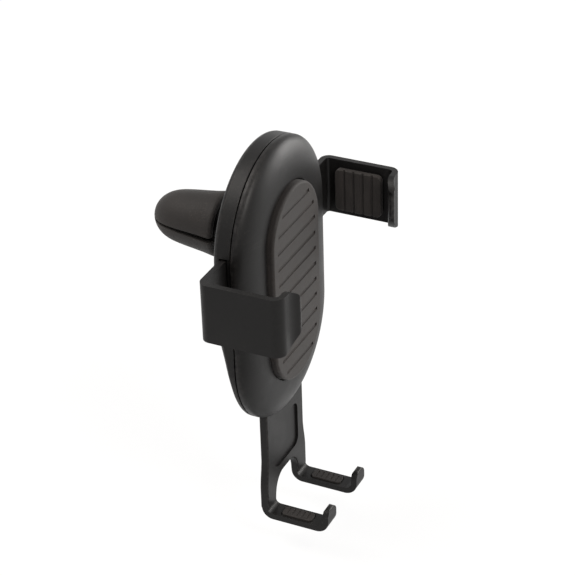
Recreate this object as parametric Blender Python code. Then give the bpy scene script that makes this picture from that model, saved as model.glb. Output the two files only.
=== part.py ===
"""Air vent holder: a long rounded head with two coupled side arms and a sliding tray, on a ball joint
behind which a two-jaw rubber clip grips a vent blade.

Frame, in metres: origin on the clip's axis at the middle of its slot, +Y to the clip's tip, so the
grip faces -Y, +X to the right arm's side seen from behind the grip, +Z up.
"""

import math

import bmesh
import bpy
from mathutils import Matrix, Vector

MM = 0.001

# Gap between two pieces that rest on, slide in or turn in each other.
CLEAR = 0.3 * MM

# Layers of the head from its front to its back.
SEAT_Y = -32.9 * MM
FRONT_PAD_THICKNESS = 2.2 * MM
PAD_RECESS_DEPTH = 0.8 * MM
COVER_WALL = 2.3 * MM
TRAY_THICKNESS = 2.4 * MM
ARM_THICKNESS = 1.6 * MM
SHELL_WALL = 2.0 * MM
SHELL_FOOT_WALL = 1.3 * MM
COVER_RECESS_Y = SEAT_Y + FRONT_PAD_THICKNESS + CLEAR
COVER_FACE_Y = COVER_RECESS_Y - PAD_RECESS_DEPTH
COVER_INNER_Y = COVER_RECESS_Y + COVER_WALL
TRAY_FRONT_Y = COVER_INNER_Y + CLEAR
TRAY_BACK_Y = TRAY_FRONT_Y + TRAY_THICKNESS
ARM_FRONT_Y = TRAY_BACK_Y + CLEAR
ARM_BACK_Y = ARM_FRONT_Y + ARM_THICKNESS
SHELL_INNER_Y = ARM_BACK_Y + CLEAR
SHELL_BACK_Y = SHELL_INNER_Y + SHELL_WALL
PARTING_Y = -26.3 * MM

# Outline of the head: two half circles joined by straight sides.
HEAD_RADIUS = 25.0 * MM
HEAD_UPPER_Z = 2.0 * MM
HEAD_LOWER_Z = -27.5 * MM
HEAD_RIM_WALL = 1.5 * MM
# Below the arms the shell's back comes forward, and its edge turns softer.
SHELL_THIN_Z = -17.0 * MM
SHELL_THIN_REACH = 22.0 * MM
SHELL_SOFT_Z = -16.0 * MM
SHELL_SOFT_REACH = 16.0 * MM
PAD_RADIUS = 13.7 * MM

# Grip and arms.
GRIP_HALF_WIDTH = 33.55 * MM
ARM_PAD_THICKNESS = 1.65 * MM
ARM_PAD_X = GRIP_HALF_WIDTH + CLEAR
ARM_INNER_X = ARM_PAD_X + ARM_PAD_THICKNESS + CLEAR
ARM_OUTER_X = ARM_INNER_X + ARM_THICKNESS
ARM_HEIGHT = 16.5 * MM
ARM_Z = -3.05 * MM
ARM_REAR_RADIUS = 2.5 * MM
ARM_FRONT_RADIUS = 3.0 * MM
LIP_Y = -45.55 * MM
LIP_BEND_X = ARM_INNER_X - 4.5 * MM
LIP_TIP_X = LIP_BEND_X - 2.1 * MM
LIP_TIP_Y = LIP_Y - 1.45 * MM
LIP_TOP_CORNER = 4.5 * MM
LIP_BOTTOM_CORNER = 6.0 * MM
LIP_BEND_RADIUS = 2.2 * MM
ARM_EDGE_ROUND = 0.35 * MM
ARM_PAD_LOW_Y = LIP_Y + ARM_THICKNESS / 2.0 + 2.95 * MM
ARM_PAD_HIGH_Y = ARM_FRONT_Y - 3.1 * MM
ARM_PAD_MARGIN_Z = 2.0 * MM
ARM_PAD_GROOVES = 4
ARM_PAD_GROOVE_WIDTH = 0.8 * MM
ARM_PAD_GROOVE_DEPTH = 0.5 * MM

# Gear and racks.
GEAR_MODULE = 0.9 * MM
GEAR_TEETH = 14
GEAR_ANGLE = math.radians(20.0)
GEAR_PITCH_RADIUS = GEAR_MODULE * GEAR_TEETH / 2.0
GEAR_ADDENDUM = 0.75 * GEAR_MODULE
GEAR_DEDENDUM = 1.0833 * GEAR_MODULE
GEAR_BACKLASH = 0.25 * MM
GEAR_PITCH = math.pi * GEAR_MODULE
TOOTH_WIDTH = GEAR_PITCH / 2.0 - GEAR_BACKLASH
POST_RADIUS = 2.0 * MM
RACK_ROOT = GEAR_PITCH_RADIUS + GEAR_DEDENDUM
RACK_BAR_WIDTH = 4.4 * MM
RACK_BAR_START_X = 12.0 * MM
RACK_BAR_END_X = 14.0 * MM
RACK_BAR_CORNER = 1.2 * MM
BAR_GUIDE_THICKNESS = 1.2 * MM
BAR_GUIDE_HALF_LENGTH = 20.5 * MM

# The plate of each arm ends at the head's side and goes on inwards as a narrower neck to its rack bar.
ARM_PLATE_X = HEAD_RADIUS
ARM_PLATE_LAP = 2.0 * MM
ARM_NECK_X = 12.4 * MM
ARM_NECK_DROP = 4.1 * MM
ARM_NECK_TOP = RACK_ROOT + 0.7 * MM
ARM_SLOT_HALF_HEIGHT = max(ARM_HEIGHT / 2.0, ARM_NECK_TOP) + CLEAR

# Sliding tray with two hooks.
TRAY_HALF_WIDTH = 11.0 * MM
TRAY_TOP_Z = 13.0 * MM
TRAY_WINDOW_LEFT_X = -7.6 * MM
TRAY_WINDOW_DROP = 17.5 * MM
TRAY_WINDOW_RISE = 12.5 * MM
HOOK_X = TRAY_HALF_WIDTH - 1.55 * MM
HOOK_WIDTH = 5.4 * MM
HOOK_THICKNESS = 1.7 * MM
HOOK_FLOOR_Z = -82.0 * MM
HOOK_LIP_Y = -44.9 * MM
HOOK_TIP_Z = HOOK_FLOOR_Z + 5.6 * MM
HOOK_CORNER = HOOK_WIDTH / 2.0 - 0.05 * MM
HOOK_REAR_BEND = 2.4 * MM
HOOK_FRONT_BEND = 2.9 * MM
HOOK_PAD_DEPTH = 0.7 * MM
HOOK_PAD_THICKNESS = 0.8 * MM
HOOK_PAD_HALF_WIDTH = HOOK_WIDTH / 2.0 - 0.9 * MM
HOOK_PAD_LOW_Y = HOOK_LIP_Y + 4.9 * MM
HOOK_PAD_HIGH_Y = TRAY_FRONT_Y - 3.3 * MM
TRAY_BOTTOM_Z = HOOK_FLOOR_Z + 2.0 * MM
TRAY_LEG_INNER_X = HOOK_X - HOOK_WIDTH / 2.0 + 0.35 * MM
TRAY_ARCH_HEIGHT = 7.4 * MM
TRAY_FLARE_HEIGHT = 15.0 * MM
TRAY_GUIDE_THICKNESS = 1.4 * MM
TRAY_GUIDE_LOW_Z = -42.0 * MM
TRAY_GUIDE_HIGH_Z = 17.5 * MM
TRAY_GUIDE_END_Y = TRAY_BACK_Y - 0.6 * MM

# Screws that join the two halves of the head.
SCREW_UPPER = (14.0 * MM, 17.0 * MM)
SCREW_LOWER = (15.0 * MM, -19.8 * MM)
SCREW_HEAD_RADIUS = 2.0 * MM
SCREW_HEAD_HEIGHT = 1.1 * MM
SCREW_SHANK_RADIUS = 0.9 * MM
SCREW_SEAT_Y = SHELL_INNER_Y - 0.6 * MM
SCREW_SEAT_FLOOR = 1.3 * MM
SCREW_BOSS_RADIUS = 3.2 * MM
COVER_BOSS_RADIUS = 2.4 * MM

# Ball joint.
BALL_RADIUS = 4.0 * MM
CUP_RADIUS = BALL_RADIUS + CLEAR
CUP_WALL = 0.75 * MM
BALL_Y = SHELL_INNER_Y + CUP_WALL + CUP_RADIUS
SEAT_RING_INNER = BALL_RADIUS + CLEAR
SEAT_RING_OUTER = SEAT_RING_INNER + 0.9 * MM
SEAT_RING_ANGLES = (46.0, 50.0, 54.0, 58.0, 62.0)
NUT_CAVITY_RADIUS = SEAT_RING_OUTER + CLEAR
SOCKET_RADIUS = 5.9 * MM
NUT_BORE_RADIUS = SOCKET_RADIUS + CLEAR
NUT_RADIUS = 7.4 * MM
NUT_RIB_HEIGHT = 0.35 * MM
NUT_RIBS = 24
NUT_SHOULDER = 2.9 * MM
NUT_EDGE = 0.5 * MM
# Wall of the nut beyond its cavity, at three angles from the way to the clip.
NUT_END = ((46.5, 0.85 * MM), (54.0, 1.15 * MM), (62.5, 1.85 * MM))
NECK_RADIUS = 2.1 * MM

# Vent clip.
CLIP_BASE_Y = -12.2 * MM
CLIP_HUB_RADIUS = 6.8 * MM
CLIP_HUB_LENGTH = 3.2 * MM
CLIP_BORE_DEPTH = 2.4 * MM
CLIP_WALL = 1.7 * MM
TONGUE_END_Y = 4.5 * MM
TONGUE_FACE_Z = 1.9 * MM
JAW_GROOVES = 6
JAW_GROOVE_START = 6.0 * MM
JAW_GROOVE_PITCH = 2.2 * MM
JAW_GROOVE_DEPTH = 0.4 * MM
SLOT_TIP_HALF = 0.25 * MM
SLOT_BASE_LOWER = 1.4 * MM
CLIP_LENGTH = 20.3 * MM
CLIP_RADIUS = 8.8 * MM
# Share of the clip's length back from its base, and share of its largest radius there.
CLIP_PROFILE = (
    (0.0, 0.955),
    (0.025, 1.0),
    (0.197, 0.943),
    (0.369, 0.892),
    (0.542, 0.841),
    (0.69, 0.778),
    (0.803, 0.682),
    (0.887, 0.551),
    (0.946, 0.398),
    (0.98, 0.25),
    (1.0, 0.102),
)


def clear_scene():
    for obj in list(bpy.data.objects):
        bpy.data.objects.remove(obj, do_unlink=True)


def make_material(name, colour, roughness, metallic=0.0):
    material = bpy.data.materials.new(name)
    material.use_nodes = True
    shader = material.node_tree.nodes["Principled BSDF"]
    shader.inputs["Base Color"].default_value = (colour[0], colour[1], colour[2], 1.0)
    shader.inputs["Roughness"].default_value = roughness
    shader.inputs["Metallic"].default_value = metallic
    material.diffuse_color = (colour[0], colour[1], colour[2], 1.0)
    return material


def make_object(name, verts, faces, material=None, smooth=False):
    """One closed mesh with its faces turned outwards."""
    mesh = bpy.data.meshes.new(name)
    bm = bmesh.new()
    points = [bm.verts.new(v) for v in verts]
    for face in faces:
        bm.faces.new([points[i] for i in face])
    bmesh.ops.recalc_face_normals(bm, faces=bm.faces[:])
    bm.to_mesh(mesh)
    bm.free()
    obj = bpy.data.objects.new(name, mesh)
    bpy.context.scene.collection.objects.link(obj)
    if material:
        mesh.materials.append(material)
    if smooth:
        mesh.shade_smooth()
        mesh.set_sharp_from_angle(angle=math.radians(32.0))
    return obj


def helper(obj):
    """Keeps a cutting or joining shape out of the result."""
    obj.hide_render = True
    obj.display_type = "WIRE"
    return obj


def boolean(obj, other, operation):
    modifier = obj.modifiers.new(other.name, "BOOLEAN")
    modifier.operation = operation
    modifier.solver = "EXACT"
    modifier.object = helper(other)
    return modifier


def bevel(obj, width, segments=2, angle=50.0):
    modifier = obj.modifiers.new("edge_round", "BEVEL")
    modifier.width = width
    modifier.segments = segments
    modifier.limit_method = "ANGLE"
    modifier.angle_limit = math.radians(angle)
    return modifier


def on_axis(axis, u, v, w):
    """Point from outline coordinates u, v and height w along the named axis."""
    if axis == "X":
        return (w, u, v)
    if axis == "Y":
        return (u, w, v)
    return (u, v, w)


def prism(name, outline, axis, low, high, material=None):
    count = len(outline)
    verts = [on_axis(axis, u, v, low) for u, v in outline]
    verts += [on_axis(axis, u, v, high) for u, v in outline]
    faces = [tuple(range(count)), tuple(range(count, 2 * count))]
    for i in range(count):
        j = (i + 1) % count
        faces.append((i, j, count + j, count + i))
    return make_object(name, verts, faces, material)


def strip_faces(start, count, top):
    """Faces across a loop that is the same left and right, from its top point to its bottom one."""
    order = [start + (top + i) % count for i in range(count)]
    faces = [(order[0], order[1], order[-1])]
    for i in range(1, count // 2 - 1):
        faces.append((order[i], order[i + 1], order[count - i - 1], order[count - i]))
    faces.append((order[count // 2 - 1], order[count // 2], order[count // 2 + 1]))
    return faces


def loft(name, loops, material=None, closed=False, smooth=True, top=None):
    """Skin through loops of equal length, capped at both ends or joined into a ring."""
    count = len(loops[0])
    verts = [point for loop in loops for point in loop]
    faces = []
    last = len(loops) if closed else len(loops) - 1
    for k in range(last):
        a = k * count
        b = ((k + 1) % len(loops)) * count
        for i in range(count):
            j = (i + 1) % count
            faces.append((a + i, a + j, b + j, b + i))
    end = (len(loops) - 1) * count
    if top is not None:
        faces += strip_faces(0, count, top) + strip_faces(end, count, top)
    elif not closed:
        faces.append(tuple(range(count)))
        faces.append(tuple(range(end, end + count)))
    return make_object(name, verts, faces, material, smooth)


def lathe(name, profile, centre, steps, material=None, closed=False, ribs=None):
    """Profile points (radius, y) turned about the Y line through centre (x, z)."""
    loops = []
    for k, (radius, y) in enumerate(profile):
        loop = []
        for i in range(steps):
            angle = 2.0 * math.pi * i / steps
            r = radius
            if ribs and k in ribs and i % 2:
                r = radius - NUT_RIB_HEIGHT
            loop.append((centre[0] + r * math.cos(angle), y, centre[1] + r * math.sin(angle)))
        loops.append(loop)
    return loft(name, loops, material, closed)


def cylinder(name, centre, radius, low, high, steps=32, material=None):
    return lathe(name, [(radius, low), (radius, high)], centre, steps, material)


def box(name, low, high):
    outline = [(low[0], low[1]), (high[0], low[1]), (high[0], high[1]), (low[0], high[1])]
    return prism(name, outline, "Z", low[2], high[2])


def arc(centre, radius, start, end, steps):
    points = []
    for i in range(steps + 1):
        angle = math.radians(start + (end - start) * i / steps)
        points.append((centre[0] + radius * math.cos(angle), centre[1] + radius * math.sin(angle)))
    return points


def rounded_rectangle(low, high, radius, steps=6):
    x0, z0 = low
    x1, z1 = high
    points = arc((x1 - radius, z0 + radius), radius, -90.0, 0.0, steps)
    points += arc((x1 - radius, z1 - radius), radius, 0.0, 90.0, steps)
    points += arc((x0 + radius, z1 - radius), radius, 90.0, 180.0, steps)
    points += arc((x0 + radius, z0 + radius), radius, 180.0, 270.0, steps)
    return points


def stadium(radius, steps=24, sides=()):
    """Outline in X and Z at one distance from the head's middle line, with extra heights on its sides."""
    points = arc((0.0, HEAD_UPPER_Z), radius, 0.0, 180.0, steps)
    points += [(-radius, z) for z in sides]
    points += arc((0.0, HEAD_LOWER_Z), radius, 180.0, 360.0, steps)
    points += [(radius, z) for z in reversed(sides)]
    return points


def filleted(points, radii, steps=6):
    """Centre line with each inner corner rounded to its radius."""
    path = [Vector(points[0])]
    for k in range(1, len(points) - 1):
        here = Vector(points[k])
        before = (Vector(points[k - 1]) - here).normalized()
        after = (Vector(points[k + 1]) - here).normalized()
        half = before.angle(after) / 2.0
        reach = radii[k - 1] / math.tan(half)
        centre = here + (before + after).normalized() * (radii[k - 1] / math.sin(half))
        first = here + before * reach - centre
        last = here + after * reach - centre
        sweep = math.atan2(first.x * last.y - first.y * last.x, first.dot(last))
        for i in range(steps + 1):
            angle = sweep * i / steps
            cos_a = math.cos(angle)
            sin_a = math.sin(angle)
            turned = Vector((first.x * cos_a - first.y * sin_a, first.x * sin_a + first.y * cos_a))
            path.append(centre + turned)
    path.append(Vector(points[-1]))
    return path


def band(path, thickness, cap_steps=6):
    """Closed outline of constant thickness about a centre line, square at its start, round at its end."""
    half = thickness / 2.0
    left = []
    right = []
    for k, here in enumerate(path):
        if k == 0:
            normal = (path[1] - here).normalized()
            scale = 1.0
        elif k == len(path) - 1:
            normal = (here - path[-2]).normalized()
            scale = 1.0
        else:
            first = (here - path[k - 1]).normalized()
            second = (path[k + 1] - here).normalized()
            normal = (first + second).normalized()
            scale = 1.0 / max(0.5, normal.dot(first))
        side = Vector((-normal.y, normal.x)) * (half * scale)
        left.append(here + side)
        right.append(here - side)
    ahead = (path[-1] - path[-2]).normalized()
    across = Vector((-ahead.y, ahead.x))
    cap = []
    for i in range(1, cap_steps):
        angle = math.pi * i / cap_steps
        cap.append(path[-1] + across * (half * math.cos(angle)) + ahead * (half * math.sin(angle)))
    outline = left + cap + right[::-1]
    return [(p.x, p.y) for p in outline]


def corner_cutter(name, corner, inward, radius, low, high, spare=0.05 * MM):
    """What lies outside a rounded corner, as a shape along Y. Inward gives the signs of X and Z."""
    sx, sz = inward
    cx = corner[0] + sx * (radius - spare)
    cz = corner[1] + sz * (radius - spare)
    outline = []
    for i in range(9):
        angle = math.radians(90.0 * i / 8)
        outline.append((cx - sx * radius * math.cos(angle), cz - sz * radius * math.sin(angle)))
    over = 1.5 * MM
    outline.append((cx, corner[1] - sz * over))
    outline.append((corner[0] - sx * over, corner[1] - sz * over))
    outline.append((corner[0] - sx * over, cz))
    return prism(name, outline, "Y", low, high)


def involute_half_angle(radius):
    """Half the angle that one tooth takes at this radius."""
    base = GEAR_PITCH_RADIUS * math.cos(GEAR_ANGLE)
    at_pitch = TOOTH_WIDTH / (2.0 * GEAR_PITCH_RADIUS)
    pitch_involute = math.tan(GEAR_ANGLE) - GEAR_ANGLE
    if radius <= base:
        return at_pitch + pitch_involute
    pressure = math.acos(base / radius)
    return at_pitch + pitch_involute - (math.tan(pressure) - pressure)


def gear_outline():
    """Involute teeth with one centred straight up."""
    root = GEAR_PITCH_RADIUS - GEAR_DEDENDUM
    tip = GEAR_PITCH_RADIUS + GEAR_ADDENDUM
    base = GEAR_PITCH_RADIUS * math.cos(GEAR_ANGLE)
    radii = [root, base, GEAR_PITCH_RADIUS, (GEAR_PITCH_RADIUS + tip) / 2.0, tip]
    outline = []
    for k in range(GEAR_TEETH):
        middle = math.pi / 2.0 + 2.0 * math.pi * k / GEAR_TEETH
        for radius in radii:
            angle = middle - involute_half_angle(radius)
            outline.append((radius * math.cos(angle), radius * math.sin(angle)))
        for radius in reversed(radii):
            angle = middle + involute_half_angle(radius)
            outline.append((radius * math.cos(angle), radius * math.sin(angle)))
        gap = middle + math.pi / GEAR_TEETH
        outline.append((root * math.cos(gap), root * math.sin(gap)))
    return [(x, ARM_Z + z) for x, z in outline]


def rack_profile(start, end, phase):
    """Rack teeth as (along, depth) with depth 0 at the root, teeth centred at phase plus whole pitches."""
    height = GEAR_ADDENDUM + GEAR_DEDENDUM
    slope = math.tan(GEAR_ANGLE)
    root_half = TOOTH_WIDTH / 2.0 + GEAR_DEDENDUM * slope
    tip_half = TOOTH_WIDTH / 2.0 - GEAR_ADDENDUM * slope
    points = []
    first = math.ceil((start + root_half - phase) / GEAR_PITCH)
    last = math.floor((end - root_half - phase) / GEAR_PITCH)
    for k in range(first, last + 1):
        middle = phase + k * GEAR_PITCH
        points.append((middle - root_half, 0.0))
        points.append((middle - tip_half, height))
        points.append((middle + tip_half, height))
        points.append((middle + root_half, 0.0))
    return points


def make_arm(name, side, material):
    """Clamp arm: plate, panel and flared lip, and a rack bar past the gear. Side is -1 or 1."""
    middle_y = (ARM_FRONT_Y + ARM_BACK_Y) / 2.0
    panel_x = (ARM_INNER_X + ARM_OUTER_X) / 2.0
    half = ARM_THICKNESS / 2.0
    corners = [
        (side * (ARM_PLATE_X + ARM_PLATE_LAP), middle_y),
        (side * panel_x, middle_y),
        (side * panel_x, LIP_Y),
        (side * LIP_BEND_X, LIP_Y),
        (side * LIP_TIP_X, LIP_TIP_Y),
    ]
    radii = (ARM_REAR_RADIUS - half, ARM_FRONT_RADIUS - half, LIP_BEND_RADIUS)
    path = filleted(corners, radii)
    bottom = ARM_Z - ARM_HEIGHT / 2.0
    top = ARM_Z + ARM_HEIGHT / 2.0
    arm = prism(name, band(path, ARM_THICKNESS), "Z", bottom, top, material)
    tip = side * (LIP_TIP_X - half)
    cut_start = LIP_TIP_Y - 5.0 * MM
    cut_end = LIP_Y + half + 0.6 * MM
    upper = corner_cutter(name + "_cut_1", (tip, top), (side, -1.0), LIP_TOP_CORNER, cut_start, cut_end)
    lower = corner_cutter(name + "_cut_2", (tip, bottom), (side, 1.0), LIP_BOTTOM_CORNER, cut_start, cut_end)
    boolean(arm, upper, "DIFFERENCE")
    boolean(arm, lower, "DIFFERENCE")
    bevel(arm, ARM_EDGE_ROUND, 2)

    # Rack bar, drawn for the left arm and turned half round the gear's axis for the right arm.
    sunk = 0.04 * MM
    edge = ARM_HEIGHT / 2.0 - sunk
    rise = RACK_ROOT + RACK_BAR_WIDTH
    outer = -(ARM_INNER_X - ARM_REAR_RADIUS - CLEAR)
    outline = [(outer, -edge), (-ARM_PLATE_X, -edge), (-ARM_PLATE_X, -edge + ARM_NECK_DROP)]
    outline += [(-ARM_NECK_X, -edge + ARM_NECK_DROP), (-ARM_NECK_X, RACK_ROOT)]
    teeth = rack_profile(-ARM_NECK_X, RACK_BAR_END_X, GEAR_PITCH / 2.0)
    outline += [(along, RACK_ROOT - depth) for along, depth in teeth]
    outline += [(RACK_BAR_END_X, RACK_ROOT), (RACK_BAR_END_X, rise - RACK_BAR_CORNER)]
    outline += [(RACK_BAR_END_X - RACK_BAR_CORNER, rise), (RACK_BAR_CORNER - RACK_BAR_START_X, rise)]
    outline += [(-RACK_BAR_START_X, rise - RACK_BAR_CORNER), (-RACK_BAR_START_X, ARM_NECK_TOP)]
    outline += [(-ARM_PLATE_X, ARM_NECK_TOP), (-ARM_PLATE_X, edge), (outer, edge)]
    turn = -side
    placed = [(turn * x, ARM_Z + turn * z) for x, z in outline]
    bar = prism(name + "_rack", placed, "Y", ARM_FRONT_Y + sunk, ARM_BACK_Y - sunk)
    boolean(arm, bar, "UNION")
    return arm


def make_arm_pad(name, side, material):
    """Rubber pad inside an arm's panel, with upright grooves in its gripping face."""
    low = (ARM_PAD_LOW_Y, ARM_Z - ARM_HEIGHT / 2.0 + ARM_PAD_MARGIN_Z)
    high = (ARM_PAD_HIGH_Y, ARM_Z + ARM_HEIGHT / 2.0 - ARM_PAD_MARGIN_Z)
    outline = rounded_rectangle(low, high, 1.5 * MM, 4)
    inner = side * ARM_PAD_X
    outer = side * (ARM_PAD_X + ARM_PAD_THICKNESS)
    pad = prism(name, outline, "X", min(inner, outer), max(inner, outer), material)
    bevel(pad, 0.3 * MM, 2)
    over = 1.0 * MM
    near = side * (ARM_PAD_X - over)
    far = side * (ARM_PAD_X + ARM_PAD_GROOVE_DEPTH)
    spacing = (ARM_PAD_HIGH_Y - ARM_PAD_LOW_Y) / (ARM_PAD_GROOVES + 1)
    for k in range(ARM_PAD_GROOVES):
        y = ARM_PAD_LOW_Y + spacing * (k + 1)
        groove = box(name + "_groove_" + str(k + 1),
                     (min(near, far), y - ARM_PAD_GROOVE_WIDTH / 2.0, low[1] - over),
                     (max(near, far), y + ARM_PAD_GROOVE_WIDTH / 2.0, high[1] + over))
        boolean(pad, groove, "DIFFERENCE")
    return pad


def make_tray(material):
    """Sliding plate with its window and inner rack, its stem, and two hooks at the foot."""
    foot = HOOK_X + HOOK_WIDTH / 2.0
    inner = TRAY_LEG_INNER_X
    corner = 4.0 * MM
    right = [(inner - 4.2 * MM, TRAY_ARCH_HEIGHT), (inner - 2.0 * MM, 0.84 * TRAY_ARCH_HEIGHT)]
    right += [(inner - 0.6 * MM, 0.54 * TRAY_ARCH_HEIGHT), (inner, 0.0), (foot, 0.0)]
    right += [(foot, 0.47 * TRAY_FLARE_HEIGHT), (foot - 0.3 * MM, 0.63 * TRAY_FLARE_HEIGHT)]
    right += [(TRAY_HALF_WIDTH + 0.3 * MM, 0.83 * TRAY_FLARE_HEIGHT), (TRAY_HALF_WIDTH, TRAY_FLARE_HEIGHT)]
    outline = [(x, TRAY_BOTTOM_Z + up) for x, up in right]
    outline += arc((TRAY_HALF_WIDTH - corner, TRAY_TOP_Z - corner), corner, 0.0, 90.0, 6)
    outline += arc((corner - TRAY_HALF_WIDTH, TRAY_TOP_Z - corner), corner, 90.0, 180.0, 6)
    outline += [(-x, TRAY_BOTTOM_Z + up) for x, up in reversed(right)]
    tray = prism("bottom_tray", outline, "Y", TRAY_FRONT_Y, TRAY_BACK_Y, material)
    bevel(tray, 0.3 * MM, 2, 40.0)

    low = ARM_Z - TRAY_WINDOW_DROP
    high = ARM_Z + TRAY_WINDOW_RISE
    window = [(TRAY_WINDOW_LEFT_X, high), (TRAY_WINDOW_LEFT_X, low), (RACK_ROOT, low)]
    teeth = rack_profile(low, high, ARM_Z)
    window += [(RACK_ROOT - depth, along) for along, depth in teeth]
    window += [(RACK_ROOT, high)]
    over = 1.0 * MM
    cutter = prism("tray_window", window, "Y", TRAY_FRONT_Y - over, TRAY_BACK_Y + over)
    boolean(tray, cutter, "DIFFERENCE")

    # Shallow panel sunk into the front of the stem below the head.
    panel_half = TRAY_HALF_WIDTH - 3.5 * MM
    panel_low = TRAY_BOTTOM_Z + TRAY_ARCH_HEIGHT + 2.8 * MM
    panel = rounded_rectangle((-panel_half, panel_low), (panel_half, panel_low + 14.0 * MM), 2.5 * MM, 4)
    recess = prism("tray_panel", panel, "Y", TRAY_FRONT_Y - over, TRAY_FRONT_Y + 0.6 * MM)
    boolean(tray, recess, "DIFFERENCE")

    for index, side in ((1, -1.0), (2, 1.0)):
        middle_y = (TRAY_FRONT_Y + TRAY_BACK_Y) / 2.0
        corners = [
            (middle_y, HOOK_FLOOR_Z + 7.0 * MM),
            (middle_y, HOOK_FLOOR_Z),
            (HOOK_LIP_Y, HOOK_FLOOR_Z),
            (HOOK_LIP_Y, HOOK_TIP_Z),
        ]
        path = filleted(corners, (HOOK_REAR_BEND, HOOK_FRONT_BEND))
        x = side * HOOK_X
        low_x = x - HOOK_WIDTH / 2.0
        high_x = x + HOOK_WIDTH / 2.0
        name = "hook_" + str(index)
        hook = prism(name, band(path, HOOK_THICKNESS), "X", low_x, high_x)
        top = HOOK_TIP_Z + HOOK_THICKNESS / 2.0
        first = corner_cutter(name + "_cut_1", (low_x, top), (1.0, -1.0), HOOK_CORNER,
                              HOOK_LIP_Y - HOOK_THICKNESS, HOOK_LIP_Y + HOOK_THICKNESS)
        second = corner_cutter(name + "_cut_2", (high_x, top), (-1.0, -1.0), HOOK_CORNER,
                               HOOK_LIP_Y - HOOK_THICKNESS, HOOK_LIP_Y + HOOK_THICKNESS)
        boolean(hook, first, "DIFFERENCE")
        boolean(hook, second, "DIFFERENCE")
        bevel(hook, 0.3 * MM, 2)
        boolean(tray, hook, "UNION")
        pocket = hook_pad_outline(side, CLEAR)
        floor = HOOK_FLOOR_Z + HOOK_THICKNESS / 2.0
        seat = prism(name + "_pocket", pocket, "Z", floor - HOOK_PAD_DEPTH, floor + 2.0 * MM)
        boolean(tray, seat, "DIFFERENCE")
    return tray


def hook_pad_outline(side, grow):
    x = side * HOOK_X
    low = (x - HOOK_PAD_HALF_WIDTH - grow, HOOK_PAD_LOW_Y - grow)
    high = (x + HOOK_PAD_HALF_WIDTH + grow, HOOK_PAD_HIGH_Y + grow)
    return rounded_rectangle(low, high, 1.0 * MM + grow, 4)


def make_hook_pad(name, side, material):
    floor = HOOK_FLOOR_Z + HOOK_THICKNESS / 2.0 - HOOK_PAD_DEPTH + CLEAR
    pad = prism(name, hook_pad_outline(side, 0.0), "Z", floor, floor + HOOK_PAD_THICKNESS, material)
    bevel(pad, 0.15 * MM, 1)
    return pad


def screw_places():
    return (
        (-SCREW_UPPER[0], SCREW_UPPER[1]),
        (SCREW_UPPER[0], SCREW_UPPER[1]),
        (-SCREW_LOWER[0], SCREW_LOWER[1]),
        (SCREW_LOWER[0], SCREW_LOWER[1]),
    )


def make_front_cover(material):
    """Front half of the head: a shallow domed dish with the pad's recess, the gear's post and guides."""
    rim_y = PARTING_Y - CLEAR / 2.0
    side_y = PARTING_Y - 0.9 * MM
    recess_radius = PAD_RADIUS + CLEAR
    start = recess_radius + 0.6 * MM
    profile = [(recess_radius, COVER_RECESS_Y), (recess_radius, COVER_FACE_Y)]
    for k in range(9):
        angle = math.radians(90.0 * k / 8)
        radius = start + (HEAD_RADIUS - start) * math.sin(angle)
        profile.append((radius, side_y - (side_y - COVER_FACE_Y) * math.cos(angle)))
    profile += [(HEAD_RADIUS, rim_y), (HEAD_RADIUS - HEAD_RIM_WALL, rim_y)]
    profile += [(HEAD_RADIUS - HEAD_RIM_WALL, rim_y - 0.7 * MM)]
    profile += [(HEAD_RADIUS - HEAD_RIM_WALL - 1.3 * MM, COVER_INNER_Y)]
    loops = []
    for radius, y in profile:
        loops.append([(x, y, z) for x, z in stadium(radius)])
    cover = loft("front_cover", loops, material)

    sunk = 0.4 * MM
    post = cylinder("gear_post", (0.0, ARM_Z), POST_RADIUS, COVER_INNER_Y - sunk, ARM_BACK_Y, 24)
    boolean(cover, post, "UNION")
    for index, side in ((1, -1.0), (2, 1.0)):
        near = side * (TRAY_HALF_WIDTH + CLEAR)
        far = near + side * TRAY_GUIDE_THICKNESS
        guide = box("tray_guide_" + str(index),
                    (min(near, far), COVER_INNER_Y - sunk, TRAY_GUIDE_LOW_Z),
                    (max(near, far), TRAY_GUIDE_END_Y, TRAY_GUIDE_HIGH_Z))
        boolean(cover, guide, "UNION")
    for index, place in enumerate(screw_places()):
        boss_end = SCREW_SEAT_Y - SCREW_SEAT_FLOOR - CLEAR
        boss = cylinder("cover_boss_" + str(index + 1), place, COVER_BOSS_RADIUS,
                        COVER_INNER_Y - sunk, boss_end, 20)
        boolean(cover, boss, "UNION")
        pilot = cylinder("cover_pilot_" + str(index + 1), place, SCREW_SHANK_RADIUS + CLEAR,
                         COVER_INNER_Y - 0.2 * MM, boss_end + 1.0 * MM, 16)
        boolean(cover, pilot, "DIFFERENCE")
    slot = box("cover_stem_slot",
               (-TRAY_HALF_WIDTH - CLEAR, COVER_INNER_Y, HEAD_LOWER_Z - HEAD_RADIUS - 3.0 * MM),
               (TRAY_HALF_WIDTH + CLEAR, PARTING_Y + 2.0 * MM, -46.0 * MM))
    boolean(cover, slot, "DIFFERENCE")

    # Tongues on the rim that close the shell's side notches in front of the arm plates.
    for index, side in ((1, -1.0), (2, 1.0)):
        near = side * (HEAD_RADIUS - HEAD_RIM_WALL + 0.1 * MM)
        far = side * (HEAD_RADIUS - 0.3 * MM)
        half_height = ARM_SLOT_HALF_HEIGHT - CLEAR
        tongue = box("notch_tongue_" + str(index),
                     (min(near, far), rim_y - sunk, ARM_Z - half_height),
                     (max(near, far), ARM_FRONT_Y - CLEAR, ARM_Z + half_height))
        boolean(cover, tongue, "UNION")
    return cover


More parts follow.
